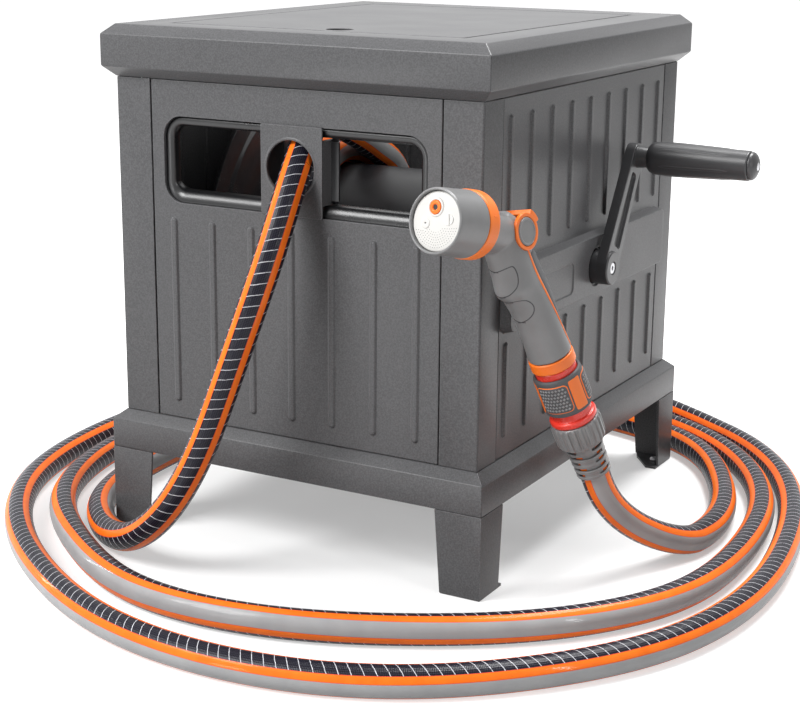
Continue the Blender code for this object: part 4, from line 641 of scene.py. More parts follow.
def hose_tube(name, points, grey, start, place, body=None, nodes=(), sides=28):
    """A tube along points with its grey side turned to given directions, and its pattern's map."""
    along = tangents(points)
    grey = unit(grey - along * (grey * along).sum(axis=1, keepdims=True))
    across = np.cross(along, grey)
    angles = 2 * np.pi * np.arange(sides) / sides
    c, s = np.cos(angles)[None, :, None], np.sin(angles)[None, :, None]
    verts = points[:, None] + HOSE * (c * grey[:, None] + s * across[:, None])
    count = len(points)
    faces = [
        (
            i * sides + k, i * sides + (k + 1) % sides,
            (i + 1) * sides + (k + 1) % sides, (i + 1) * sides + k,
        )
        for i in range(count - 1)
        for k in range(sides)
    ]
    faces += [tuple(reversed(range(sides))), tuple(range((count - 1) * sides, count * sides))]
    mesh = bpy.data.meshes.new(name)
    mesh.from_pydata([place @ Vector(p) for p in verts.reshape(-1, 3)], [], faces)
    run = (start + run_of(points)) * 0.001
    layer = mesh.uv_layers.new(name="hose")
    quads = np.zeros((count - 1, sides, 4, 2))
    quads[..., 0] = (
        np.arange(sides)[None, :, None] / sides + np.array([0, 1, 1, 0])[None, None, :] / sides
    )
    quads[:, :, :2, 1] = run[:-1, None, None]
    quads[:, :, 2:, 1] = run[1:, None, None]
    caps = np.zeros((2 * sides, 2))
    caps[:sides, 1], caps[sides:, 1] = run[0], run[-1]
    caps[:, 0] = 0.2
    layer.data.foreach_set("uv", np.concatenate([quads.reshape(-1, 2), caps]).astype(np.float32).ravel())
    mesh.shade_smooth()
    mesh.set_sharp_from_angle(angle=math.radians(50))
    obj = placed(name, mesh)
    obj.data.materials.append(MATERIALS["hose"])
    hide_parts(*nodes)
    if body:
        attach(obj, body)
    return obj


def row(point):
    """A point of the cabinet's frame in the shared frame, in metres."""
    return tuple(CABINET @ Vector(point))


def hoses():
    """The wound hose on the reel, and the free hose from it to the gun in three pieces."""
    coil = [drum_point(WOUND_FROM - 7.5 * i) for i in range(48 * WOUND_TURNS + 1)]
    inwards = unit(drum_point(WOUND_FROM) - drum_point(WOUND_FROM - 1))
    outwards = unit(drum_point(WOUND_EXIT_ANGLE) - drum_point(WOUND_EXIT_ANGLE + 1))
    lead_in = [coil[0] + inwards * k for k in (27, 20, 10)]
    lead_out = [coil[-1] + outwards * k for k in (9, 18, 27)]
    wound = spread(np.array(lead_in + coil + lead_out), 4)
    sideways = np.tile((1.0, 0, 0), (len(wound), 1))
    hose_tube("wound_hose_fine", wound, sideways, 0, REEL, "reel", ["wound_hose"])

    to_cabinet = CABINET.inverted() @ HANDLE
    start = np.array(AXLE) + wound[-1] + outwards * 0.3
    ends = [tuple(to_cabinet @ Vector((0, 0, -s))) for s in (263.6, 247.6, 215.7)]
    fine = smooth_route([tuple(start), tuple(start + 27 * outwards)] + ROUTE + ends[:2])
    fine = np.vstack([fine, np.linspace(fine[-1], ends[2], 17)[1:]])
    fine = spread(fine, 3.8)
    run = run_of(fine)
    along = tangents(fine)
    outward = unit(np.cross((0, 0, 1.0), along))
    above = np.cross(along, outward)
    first = nearest(fine, (-244, 154, 14))
    keys, tilts = [], []
    last = 0
    for place, tilt in TILTS:
        last += nearest(fine[last:], place)
        keys.append(run[last])
        tilts.append(math.radians(tilt))
    tilt = np.interp(run, keys, tilts)
    lying = np.cos(tilt)[:, None] * outward + np.sin(tilt)[:, None] * above
    camera = np.array(TO_CAMERA)
    held = np.tile(-camera, (len(fine), 1))
    share = np.clip(run / run[nearest(fine, (17, -178, 397))], 0, 1)[:, None]
    held = (1 - share) * np.array((1.0, 0, 0)) + share * held
    rise = run[last] - 60
    held[run > run[-1] / 2] = camera
    low, high = run[nearest(fine[:first], (-71, -323, 62))], run[nearest(fine[:first], (-176, -279, HOSE))]
    free = eased(np.interp(run, [low, high, rise, rise + 190], [1, 0, 0, 1]))[:, None]
    grey = (1 - free) * lying + free * held

    at_guide, at_landing = nearest(fine, GUIDE_POINT), nearest(fine[:first], LANDING)
    parts = (
        ("hose_inner", 0, at_guide, "object"), ("hose_drop", at_guide, at_landing, "object"),
        ("hose_floor", at_landing, len(fine) - 1, "tool"),
    )
    for node, a, b, far_end in parts:
        points = fine[a : b + 1]
        obj = hose_tube(f"{node}_fine", points, grey[a : b + 1], run[a], CABINET, nodes=[node])
        if node == "hose_inner":
            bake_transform(obj)
        elif node == "hose_drop":
            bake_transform(obj)
        else:
            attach(obj, "cabinet")


# Panels, with boxes as (left, right, low, high, corner)

WALL = (115, 434)
WINDOW = (-138, 138, 321.5, 402, 20)
BAND, BAND_RISE = (-184.4, 184.4, 228, 290, 11), 9
FIELD = (-130, -47, 240, 271, 7)
GUIDE_SHEET = 1.5
HINGE = (172, 475)
RIB_HALF = 4.25
RIB = [(0, 0), (0.3, 0.12), (0.75, 0.6), (1.3, 1.35), (1.8, 1.85), (2.3, 2.1), (3.0, 2.15)]


def rib(shape, centre, low, high):
    """A pressed bead with round ends, and the outline it stands on."""
    loops = []
    for inset, height in RIB:
        r = RIB_HALF - inset
        ends = arc(centre, high - RIB_HALF, r, 0, 180, 10) + arc(centre, low + RIB_HALF, r, 180, 360, 10)
        loops.append([(*p, -height) for p in ends])
    shape.rings(loops, caps=(False, True))
    return loops[0]


def pressed(name, place, half, centres, spans, extra=None):
    """A sheet panel with folded edges, pressed beads, and what extra adds to its face."""
    shape = Shape()
    low, high = WALL
    fold = [(1.2, 0), (0.75, 0.08), (0.35, 0.35), (0.08, 0.75), (0, 1.2), (0, 10)]
    outline = [oval(inset - half, half - inset, low + inset, high - inset, 0.4, 2) for inset, _ in fold]
    shape.rings([[(*p, depth) for p in loop] for loop, (_, depth) in zip(outline, fold)])
    holes = [rib(shape, centre, *span) for centre in centres for span in spans]
    if extra:
        holes.append(extra(shape))
    shape.flat([outline[0]] + holes, 0)
    towards = (CABINET @ place).to_3x3() @ Vector((0, 0, -1))
    obj = object_from(shape, f"{name}_fine", CABINET @ place, 60, towards)
    thickened(obj, 0.0014, -1)
    even_shading(obj)
    return dress(obj, "powder_coat", "cabinet", [name])


def window(shape):
    """The edge of the front panel's window."""
    rings = stepped(WINDOW, [(0, 0), (0.25, 0.06), (0.45, 0.3), (0.5, 1.2), (0.5, 4.6)], 12)
    shape.rings(rings)
    return rings[0]


def window_lip():
    """The rolled lip behind the window's edge, fuller along its bottom, coloured near black as painted
    shade inside the window.
    """
    turns = [math.radians(a) for a in (-50, -35, -20, -5, 10, 25, 40, 55, 70, 90)]
    slim = [(4.2 + 4.8 * math.sin(a), 7.6 - 4.8 * math.cos(a)) for a in turns] + [(9, 10), (9, 12)]
    turns = [math.radians(a) for a in (-8, 2, 12, 24, 36, 48, 60, 70, 80, 90)]
    full = [(1.0 + 10.6 * math.sin(a), 12.4 - 9.4 * math.cos(a)) for a in turns]
    full += [(11.6, 16), (11.6, 20)]
    rings = []
    for (a, slim_depth), (b, full_depth) in zip(slim, full):
        loop = []
        for p, q in zip(shrunk(WINDOW, a, 12), shrunk(WINDOW, b, 12)):
            low = float(eased((344 - p.y) / 20))
            loop.append((*p.lerp(q, low), slim_depth + (full_depth - slim_depth) * low))
        rings.append(loop)
    obj = object_from(Shape().rings(rings), "window_lip", CABINET @ FRONT_FACE, 60)
    thickened(obj, 0.0008, 0)
    # the lip is powder-coated sheet, given a near-black finish as painted shade
    dress(obj, "powder_coat", "cabinet", ["front_panel"], "lip_painted_shade")


def side_band(shape):
    """The raised band of a side panel, with the hole for the axle and a bare sunk field."""
    section = [(0, 0), (0.3, 0.1), (0.7, 0.6), (2.9, 7.9), (3.3, 8.7), (3.9, BAND_RISE)]
    rings = stepped(BAND, [(inset, -height) for inset, height in section])
    shape.rings(rings)
    edge = ((19.6, 0), (18.9, 0.2), (18.5, 0.8), (18.5, 1.5))
    hub = [[(*p, depth - BAND_RISE) for p in circle(*AXLE[1:], r, 56)] for r, depth in edge]
    shape.rings(hub)
    dip = ((0, 0), (0.4, 0.08), (0.9, 0.45), (1.3, 0.85), (1.8, 1.0))
    sunk = stepped(FIELD, [(inset, depth - BAND_RISE) for inset, depth in dip])
    shape.rings(sunk, caps=(False, True))
    shape.flat([rings[-1], hub[0], sunk[0]], -BAND_RISE)
    return rings[0]


def cabinet_shell():
    """The four pressed panels, the lid, the plinth, the posts, the legs and what is fixed to them."""
    across = [42.6 * i for i in range(-3, 4)]
    deep = [42.6 * i - 1 for i in range(-4, 5)]
    pressed("front_panel", FRONT_FACE, 150.9, across, [(131, 308.5)], window)
    window_lip()
    for name, place in (("right_panel", RIGHT_FACE), ("left_panel", LEFT_FACE)):
        pressed(name, place, 186.2, deep, [(132, 220.5), (300, 419.5)], side_band)
    pressed("back_panel", BACK_FACE, 150.9, across, [(131, 418)])
    refined("lid_crown", "powder_coat", "cabinet", 1.1)
    refined("plinth_frame", "powder_coat", "cabinet", 1.1)
    refined("hatch_ledge", "powder_coat", "cabinet", 0.5)
    for end in ("front", "back"):
        for side in ("left", "right"):
            refined(f"corner_post_{end}_{side}", "powder_coat", "cabinet", 1.6)
            refined(f"leg_{end}_{side}", "powder_coat", "cabinet", 0.7)
    for side in ("left", "right"):
        refined(f"rail_bracket_{side}", "powder_coat", "cabinet", 0.4)
        refined(f"hinge_lug_{side}", "zinc", "cabinet", 0.35)
    screw = [
        (0, 5.2), (1.3, 5.2), (1.5, 5.8), (3.1, 5.8), (4.5, 4.2), (4.5, 2.8), (2.5, 2.8),
        (2.5, 0.5), (0, 0.5),
    ]
    for end, y in (("front", -212), ("back", 212)):
        for side, x in (("left", -189), ("right", 189)):
            node = f"foot_screw_{end}_{side}"
            spun(node, screw, CABINET, "zinc", "cabinet", move(x, y, 0), 32, soft=0.3)


def hatch():
    """The lid's flap with its finger hole and its two hinge ears."""
    shape = Shape()
    outline = oval(-150, 150, -186, 179, 2.5, 5)
    rim = circle(16, -165, 12.5, 64)
    shape.plate(outline, 480, 482, None, 0.55, [rim])
    ear = [Vector((3.2, 5.5)), Vector((-3.2, 5.5))] + arc(0, 0, 3.2, 180, 360, 14)
    for side in (-1, 1):
        place = move(side * 132.5, *HINGE) @ IN_YZ
        shape.plate(ear, -1.5, 1.5, place, 0.3, [circle(0, 0, 2.1, 24)])
    piece(shape, "lid_hatch_fine", CABINET, "powder_coat", "hatch", "lid_hatch")
    rod = [(0, 141.5), (1.8, 141.5), (1.8, -141.5), (0, -141.5)]
    spun("hatch_hinge_rod", rod, CABINET, "zinc", "cabinet", move(0, *HINGE) @ TO_RIGHT, 24, soft=0.3)


def guide():
    """The plate in the window with its rolled hole and folded sides, its carriage and the rails."""
    outline = oval(-30, 34, *WINDOW[2:4], 1.5, 4)
    section = [(0.6, 0), (0.18, 0.18), (0, 0.6), (0, GUIDE_SHEET)]
    edge = [[(*p, z) for p in inward(outline, inset)] for inset, z in section]
    section = [
        (27.6, 0), (27.0, -0.25), (26.4, -0.65), (25.7, -0.8), (25.0, -0.62), (24.6, -0.15),
        (24.5, 0.5), (24.5, GUIDE_SHEET),
    ]
    rim = [[(*p, z) for p in circle(1.4, 364.5, r, 64)] for r, z in section]
    shape = Shape().rings(edge).rings(rim)
    shape.flat([edge[0], rim[0]], 0).flat([edge[-1], rim[-1]], GUIDE_SHEET)
    place = upright((1, 0, 0), (0, 1, 0), (0, -224.8, 0))
    whole = Shape().add(shape.points, shape.faces, place)
    for left in (-30, 32.5):
        right, front, back = left + GUIDE_SHEET, -223.5, -209
        fold = [Vector(p) for p in ((left, front), (right, front), (right, back), (left, back))]
        whole.plate(fold, 333, 390, None, 0.3)
    piece(whole, "guide_plate_fine", CABINET, "powder_coat", "guide", "guide_plate")
    refined("guide_carriage", "black_plastic", "guide", 0.5)
    rod = [(0, 149), (4, 149), (4, -149), (0, -149)]
    for level, name in ((312, "guide_rail_lower"), (412, "guide_rail_upper")):
        spun(name, rod, CABINET, "zinc", "cabinet", move(0, -205, level) @ TO_RIGHT, 32, soft=0.4)


def reel():
    """The drum between spoked flanges on its axle, the bearings, and the way the water comes in."""
    core = [(CORE_RADIUS, 129.2), (CORE_RADIUS, -129.2), (73.5, -129.2), (73.5, 129.2)]
    spun("reel_core", core, REEL, "black_plastic", "reel", TO_RIGHT, 96, True)
    flange = [
        (168, 137), (168, 132.5), (149, 132.5), (146, 129.5), (10.3, 129.5), (10.3, 141.5), (24, 141.5),
        (26, 131.5), (145, 131.5), (148, 134.5), (165.5, 134.5), (166, 137),
    ]
    spoke = oval(30, 142, -2, 2, 2, 5)
    for name, side in (("reel_flange_left", TO_LEFT), ("reel_flange_right", TO_RIGHT)):
        shape = Shape().turned(flange, side, 112, True, 0.9)
        for k in range(8):
            shape.plate(spoke, 131.2, 134.2, side @ turn(45 * k + 22.5, "Z"), 0.5)
        # the flanges get a lighter copy of black plastic as painted light inside the dark cabinet
        piece(shape, f"{name}_fine", REEL, "black_plastic", "reel", name, finish="reel_plastic_painted_light")
    axle = [(0, 181.7), (10, 181.7), (10, -192.7), (6, -192.7), (6, -100), (0, -100)]
    spun("reel_axle", axle, REEL, "zinc", "reel", TO_RIGHT, 40)
    elbow = [(0, 10.3), (7, 10.3), (7, 20), (8.2, 20.6), (8.2, 30), (7, 30.6), (7, 72.7), (0, 72.7)]
    spun("water_elbow", elbow, REEL, "brass", "reel", move(-108, 0, 0), 32)
    for name, side, bore in (("left", TO_LEFT, 10.3), ("right", TO_RIGHT, 16.6)):
        bearing = [(24, 196.8), (24, 180), (bore, 180), (bore, 196.8)]
        spun(f"bearing_{name}", bearing, REEL, "black_plastic", "cabinet", side, 48, True)
    shape = Shape().turned([
        (14, 215), (16, 213), (16, 202.9), (25, 202.9), (26, 201.9), (26, 198.9), (18.2, 198.9),
        (18.2, 197.1), (6, 197.1), (6, 215),
    ], TO_LEFT, 64, True, 0.5)
    bar = oval(-1.3, 1.3, 15.2, 17.4, 0.8, 3)
    for k in range(16):
        shape.plate(bar, 203.2, 213.6, TO_LEFT @ turn(22.5 * k, "Z"), 0.4)
    piece(shape, "inlet_swivel_fine", REEL, "black_plastic", "cabinet", "inlet_swivel")
    seal = [(9.9, 196.8), (9.9, 193), (6.3, 193), (6.3, 196.8)]
    spun("swivel_seal", seal, REEL, "seal", "cabinet", TO_LEFT, 40, True, 1.2)
    spout = [(9, 232), (10, 231)]
    for k in range(4):
        z = 230.6 - 1.6 * k
        spout += [(10, z), (9.2, z - 0.5), (9.2, z - 0.9), (10, z - 1.4)]
    spout += [(10, 223), (6, 223), (6, 232)]
    shape = Shape().turned(spout, TO_LEFT, 48, True, 0.2)
    shape.plate(circle(0, 0, 13, 6), 215.3, 223.2, TO_LEFT, 0.7, [circle(0, 0, 6, 32)])
    piece(shape, "tap_connector_fine", REEL, "brass", "cabinet", "tap_connector")


def crank():
    """The arm with its hub and long pocket, and the grip on its pin."""
    shape = Shape()
    outline = arc(0, CRANK_REACH, 13, 0, 180, 24) + arc(0, 0, 16.3, 180, 360, 28)
    pocket = soften([(-8.5, 21), (8.5, 21), (6, 98), (-6, 98)], 4, True)
    section = [(0.9, 0), (0.27, 0.27), (0, 0.9), (0, 9.1), (0.27, 9.73), (0.9, 10)]
    shape.rings([[(*p, 203.5 + z) for p in inward(outline, inset)] for inset, z in section], IN_YZ)
    sunk = [(0, 0), (0.15, 0.1), (0.4, 0.5), (0.7, 2.4), (1.1, 2.9), (1.6, 3)]
    for face, sign in ((213.5, -1), (203.5, 1)):
        rings = [[(*p, face + sign * z) for p in inward(pocket, inset)] for inset, z in sunk]
        shape.rings(rings, IN_YZ, caps=(False, True))
        shape.flat([inward(outline, 0.9), pocket], face, place=IN_YZ)
    boss = [
        (0, 211), (6, 211), (6, 215), (6.6, 215.6), (14.8, 215.6), (16.2, 214.6), (16.2, 200.1),
        (16.2, 182), (0, 182),
    ]
    shape.turned(boss, TO_RIGHT, 56, soft=0.4)
    tip = [(5.3, 224.7), (9.5, 224.7), (11, 212.5), (11, 206), (5.3, 206)]
    shape.turned(tip, move(0, 0, CRANK_REACH) @ TO_RIGHT, 48, True, 0.8)
    piece(shape, "crank_arm_fine", CRANK, "black_plastic", "reel", "crank_arm", finish="crank")
    shape = Shape().plate(circle(0, 0, 5.6, 40), 211.3, 215, TO_RIGHT, 0.7, [circle(0, 0, 2.3, 6)])
    shape.turned([(0, 212.6), (4.6, 212.6), (4.6, 211.8), (0, 211.8)], TO_RIGHT, 24, soft=0.1)
    piece(shape, "crank_screw_fine", CRANK, "zinc", "reel", "crank_screw")
    pin = [(0, 99.7), (8, 99.7), (8, 92.3), (5, 92.3), (5, -18.7), (0, -18.7)]
    spun("grip_pin", pin, GRIP, "zinc", "reel", TO_RIGHT, 32)
    outline = [
        (13.4, 100), (14.2, 99), (14.4, 84), (14.8, 72), (15.2, 60), (15.7, 44), (16, 30), (16, 12),
        (15.6, 6), (14.5, 2.4), (12, 0), (5.3, 0), (5.3, 92), (8.3, 92), (8.3, 100),
    ]
    shape = Shape().turned(outline, TO_RIGHT, 64, True, 1.2)
    bead = ((-5, -0.3), (-4, 0.18), (-1.5, 0.34), (1.5, 0.34), (4, 0.18), (5, -0.3))
    rows = []
    for x in np.linspace(14, 82, 18):
        r = np.interp(x, (12, 30, 44, 60, 72, 84), (16, 16, 15.7, 15.2, 14.8, 14.4))
        swell = min(1, (x - 14) / 6, (82 - x) / 6)
        wide, high = max(swell, 0.1), max(swell, 0.02)
        rows.append([polar(r + rise * high, math.radians(a * wide), x) for a, rise in bead])
    for k in range(6):
        shape.grid(rows, TO_RIGHT @ turn(60 * k + 20, "Z"))
    piece(shape, "crank_grip_fine", GRIP, "black_plastic", "grip", "crank_grip", finish="crank")
    cap = [
        (0, 107.2), (4.2, 107.2), (4.6, 107.7), (6, 107.4), (9, 106.2), (11, 105), (12.8, 103.2),
        (13.4, 101.6), (13.4, 100.3), (0, 100.3),
    ]
    spun("grip_end_cap", cap, GRIP, "black_plastic", "grip", TO_RIGHT, finish="crank")
    tip = [(0, 108), (2.4, 107.9), (3.8, 107.4), (3.9, 107), (0, 107)]
    piece(Shape().turned(tip, TO_RIGHT, 32, soft=0.3), "grip_tip", GRIP, "zinc", "grip")


# Spray gun, with sections as (place along the axis, middle, half width, half depth)

HANDLE_RADIUS = 17
HANDLE_TOP, HANDLE_END = -16, 120.2
HANDLE_SECTIONS = [
    (120.2, 0, 19.2, 19.8), (112, 0, 18.8, 19.4), (98, 0, 18.2, 19.4), (84, 0.4, 17.8, 20.2),
    (68, 0, 17.4, 22.0), (58, -1.4, 17.2, 23.6), (51, -2.2, 17.0, 24.6), (47, -5.0, 16.9, 27.4),
    (43, -5.6, 16.8, 27.6), (34, -4.8, 16.6, 26.4), (24, -4.2, 16.4, 24.8), (14, -4.4, 16.2, 23.6),
    (0, -4.0, 15.6, 21.0), (-10, -2.0, 13.5, 15.5), (-16, -2.0, 9.0, 10.0),
]
NECK_SECTIONS = [
    (6.4, 0, 12, 12), (-6.8, 0, 12, 12), (-6.8, 0, 21, 21), (-9, 0, 21.4, 21.4),
    (-11, -1.5, 17.6, 18.6), (-30, -4.0, 16.6, 18.0), (-50, -5.5, 15.6, 16.6),
    (-60, -6.0, 11.0, 12.5), (-65, -6.0, 6.0, 7.0),
]


def handle_at(down):
    """The handle's ellipse at a distance down its axis: its middle and its two half widths."""
    table = np.array(HANDLE_SECTIONS)[::-1]
    return [float(np.interp(down, table[:, 0], table[:, k])) for k in (1, 2, 3)]


def smooth_handle(down):
    """The handle's ellipse there, evened out along the axis."""
    spans = [handle_at(min(max(down + d, HANDLE_TOP), HANDLE_END)) for d in (-4, -2, 0, 2, 4)]
    return [float(sum(w * s[k] for w, s in zip((1, 2, 3, 2, 1), spans)) / 9) for k in range(3)]


def on_handle(down, angle, rise=0.0):
    """A point of the handle's skin; the angle is from straight right towards the back."""
    middle, wide, deep = smooth_handle(down)
    return ((wide + rise) * math.cos(angle), middle + (deep + rise) * math.sin(angle), -down)


def at_depth(down, y):
    """The angle at which the handle's skin has that depth towards the back."""
    middle, _, deep = smooth_handle(down)
    return math.asin(max(-0.98, min(0.98, (y - middle) / deep)))


def strip(shape, path, width, rise, sink=0.3):
    """A low rounded bead along a path of (down, angle) points on the handle."""
    path = [Vector(p) for p in path]
    bead = (
        (-0.5, -sink), (-0.42, 0.5 * rise), (-0.2, rise),
        (0.2, rise), (0.42, 0.5 * rise), (0.5, -sink),
    )
    rows = []
    for i, at in enumerate(path):
        d = path[min(i + 1, len(path) - 1)] - path[max(i - 1, 0)]
        d = Vector((d[0], d[1] * HANDLE_RADIUS)).normalized()
        side = Vector((-d[1], d[0] / HANDLE_RADIUS))
        tucked = i in (0, len(path) - 1)
        rows.append([
            on_handle(at[0] + side[0] * width * w, at[1] + side[1] * width * w, -sink if tucked else h)
            for w, h in bead
        ])
    return shape.grid(rows)


def seam_angle(down):
    """Where the orange seam runs on the handle's right side, as an angle towards the back."""
    depths = np.interp(down, (10, 20, 34, 50, 66, 84, 102, 120), (4, 1.5, 1, 2, 4, 6.5, 9, 11))
    return at_depth(down, float(depths))


def gun_body():
    """The handle and the neck as one skin, cut out for the thumb lever."""
    shape = Shape()
    turns = [2 * math.pi * k / 64 for k in range(64)]
    levels = np.linspace(HANDLE_TOP, HANDLE_END, 60)
    shape.rings([[on_handle(d, a) for a in turns] for d in levels], caps=(True, True))
    to_handle = HANDLE.inverted() @ HEAD
    rings = [[(x * math.cos(a), m + y * math.sin(a), z) for a in turns] for z, m, x, y in NECK_SECTIONS]
    shape.rings(rings, to_handle, caps=(True, True))
    obj = object_from(shape, "gun_body_fine", HANDLE)
    remesh = obj.modifiers.new("one skin", "REMESH")
    remesh.mode = "VOXEL"
    remesh.voxel_size = 0.0009
    ease = obj.modifiers.new("ease", "SMOOTH")
    ease.factor = 0.5
    ease.iterations = 8
    applied(obj)
    cutter = Shape()
    for side in (TO_RIGHT, TO_LEFT):
        cutter.turned([(0, 13.5), (16.1, 13.5), (16.1, 40), (0, 40)], side, 48, soft=0.01)
    cutter = object_from(cutter, "lever_cutter", GUN)
    slot = Shape()
    sector = arc(0, 0, 14.9, 24, 113, 24)[::-1] + arc(0, 0, 34, 24, 113, 24)
    area = sum(a.cross(b) for a, b in zip(sector, sector[1:] + sector[:1]))
    sector = sector[::-1] if area < 0 else sector
    slot.plate(sector, -40, 40, IN_YZ, 0.01)
    slot = object_from(slot, "slot_cutter", GUN)
    for tool in (cutter, slot):
        cut = obj.modifiers.new("cut", "BOOLEAN")
        cut.object = tool
        cut.solver = "EXACT"
    applied(obj)
    for tool in (cutter, slot):
        bpy.data.objects.remove(tool)
    obj.data.shade_smooth()
    obj.data.set_sharp_from_angle(angle=math.radians(45))
    dress(obj, "gun_grey", "gun", ["gun_body"])


def gun_back():
    """The ribbed insert at the back of the handle."""
    rear = Shape()
    rows = []
    downs = list(np.linspace(22, 118, 60))
    for i, d in enumerate(downs):
        edge = seam_angle(d) + 0.05
        tucked = i in (0, len(downs) - 1)
        row_points = []
        for k in range(41):
            a = edge + (math.pi - 2 * edge) * k / 40
            rise = -0.4 if tucked or k in (0, 40) else 0.3
            if not tucked and abs(a - math.pi / 2) < 0.9 and i % 4 == 1:
                rise = 0.75
            row_points.append(on_handle(d, a, rise))
        rows.append(row_points)
    rear.grid(rows)
    piece(rear, "gun_back_fine", HANDLE, "dark_insert", "gun", "gun_back_insert", sharp=50)


def gun_lines():
    """The orange seams, and black beads round the finger pads as painted shade of their grooves."""
    seams = Shape()
    for mirror in (0, 1):
        path = []
        for d in np.linspace(13, 119, 60):
            a = seam_angle(d)
            path.append((d, math.pi - a if mirror else a))
        strip(seams, path, 1.9, 0.55)
    piece(seams, "gun_seam_line", HANDLE, "orange", "gun", "gun_body", sharp=60)
    # black beads stand for the grooves' shade: painted shade
    painted_groove_shade = Shape()
    shield = [
        (22, -100), (21, -75), (20.5, -52), (22, -40), (30, -36), (38, -42), (42, -60), (43.5, -80),
        (44, -100),
    ]
    finger_pad = [
        (53, -104), (52, -84), (52.5, -62), (56, -44), (63, -38), (69, -46), (73, -64), (75, -84),
        (76, -104),
    ]
    for mirror in (0, 1):
        for outline in (shield, finger_pad):
            path = [(d, math.radians(180 - a if mirror else a)) for d, a in dense(outline)]
            strip(painted_groove_shade, path, 1.0, 0.12, 0.2)
    piece(painted_groove_shade, "gun_grooves_painted_shade", HANDLE, "black_plastic", "gun", "gun_body", sharp=60)


def dense(path, steps=6):
    """A path with points added between its own by a smooth curve."""
    made = []
    for i in range(len(path) - 1):
        p = [np.array(path[min(max(i + k, 0), len(path) - 1)], float) for k in (-1, 0, 1, 2)]
        for t in np.linspace(0, 1, steps, endpoint=False):
            q = 2 * p[1] + (p[2] - p[0]) * t + (2 * p[0] - 5 * p[1] + 4 * p[2] - p[3]) * t**2
            made.append(tuple(0.5 * (q + (3 * p[1] - p[0] - 3 * p[2] + p[3]) * t**3)))
    return made + [tuple(path[-1])]


def lever():
    """The thumb lever with its two rings, its ribbed bridge, and the pin it turns on."""
    shape = Shape()
    for side in (TO_RIGHT, TO_LEFT):
        ring = [(15.8, 17.3), (15.8, 13.8), (12.3, 13.8), (12.3, 17.3)]
        shape.turned(ring, side, 56, True, 0.8)
    bridge = arc(0, 0, 19.6, 30, 72, 6) + arc(0, 0, 15.2, 72, 30, 6)
    bridge = soften(bridge, 1.4, True, 40)
    shape.plate(bridge, -17.2, 17.2, IN_YZ, 0.7)
    for k in range(4):
        a = 38 + 8 * k
        place = turn(a - 90, "X") @ IN_YZ
        shape.plate(oval(-0.7, 0.7, 18.6, 20.3, 0.6, 4), -12, 12, place, 0.5)
    piece(shape, "thumb_lever_fine", GUN, "orange", "lever", "thumb_lever")
    half = [(0, 17.2), (9.6, 17.2), (10.2, 17.7), (11.2, 17.7), (12, 16.9), (12, 13.8), (5, 13.8)]
    profile = half + [(r, -z) for r, z in reversed(half)]
    spun("pivot_pin", profile, GUN, "gun_grey", "gun", TO_RIGHT)


NOZZLE = move(0, 11, 0)
PORT_X, PORT_Y = -10.2, -1


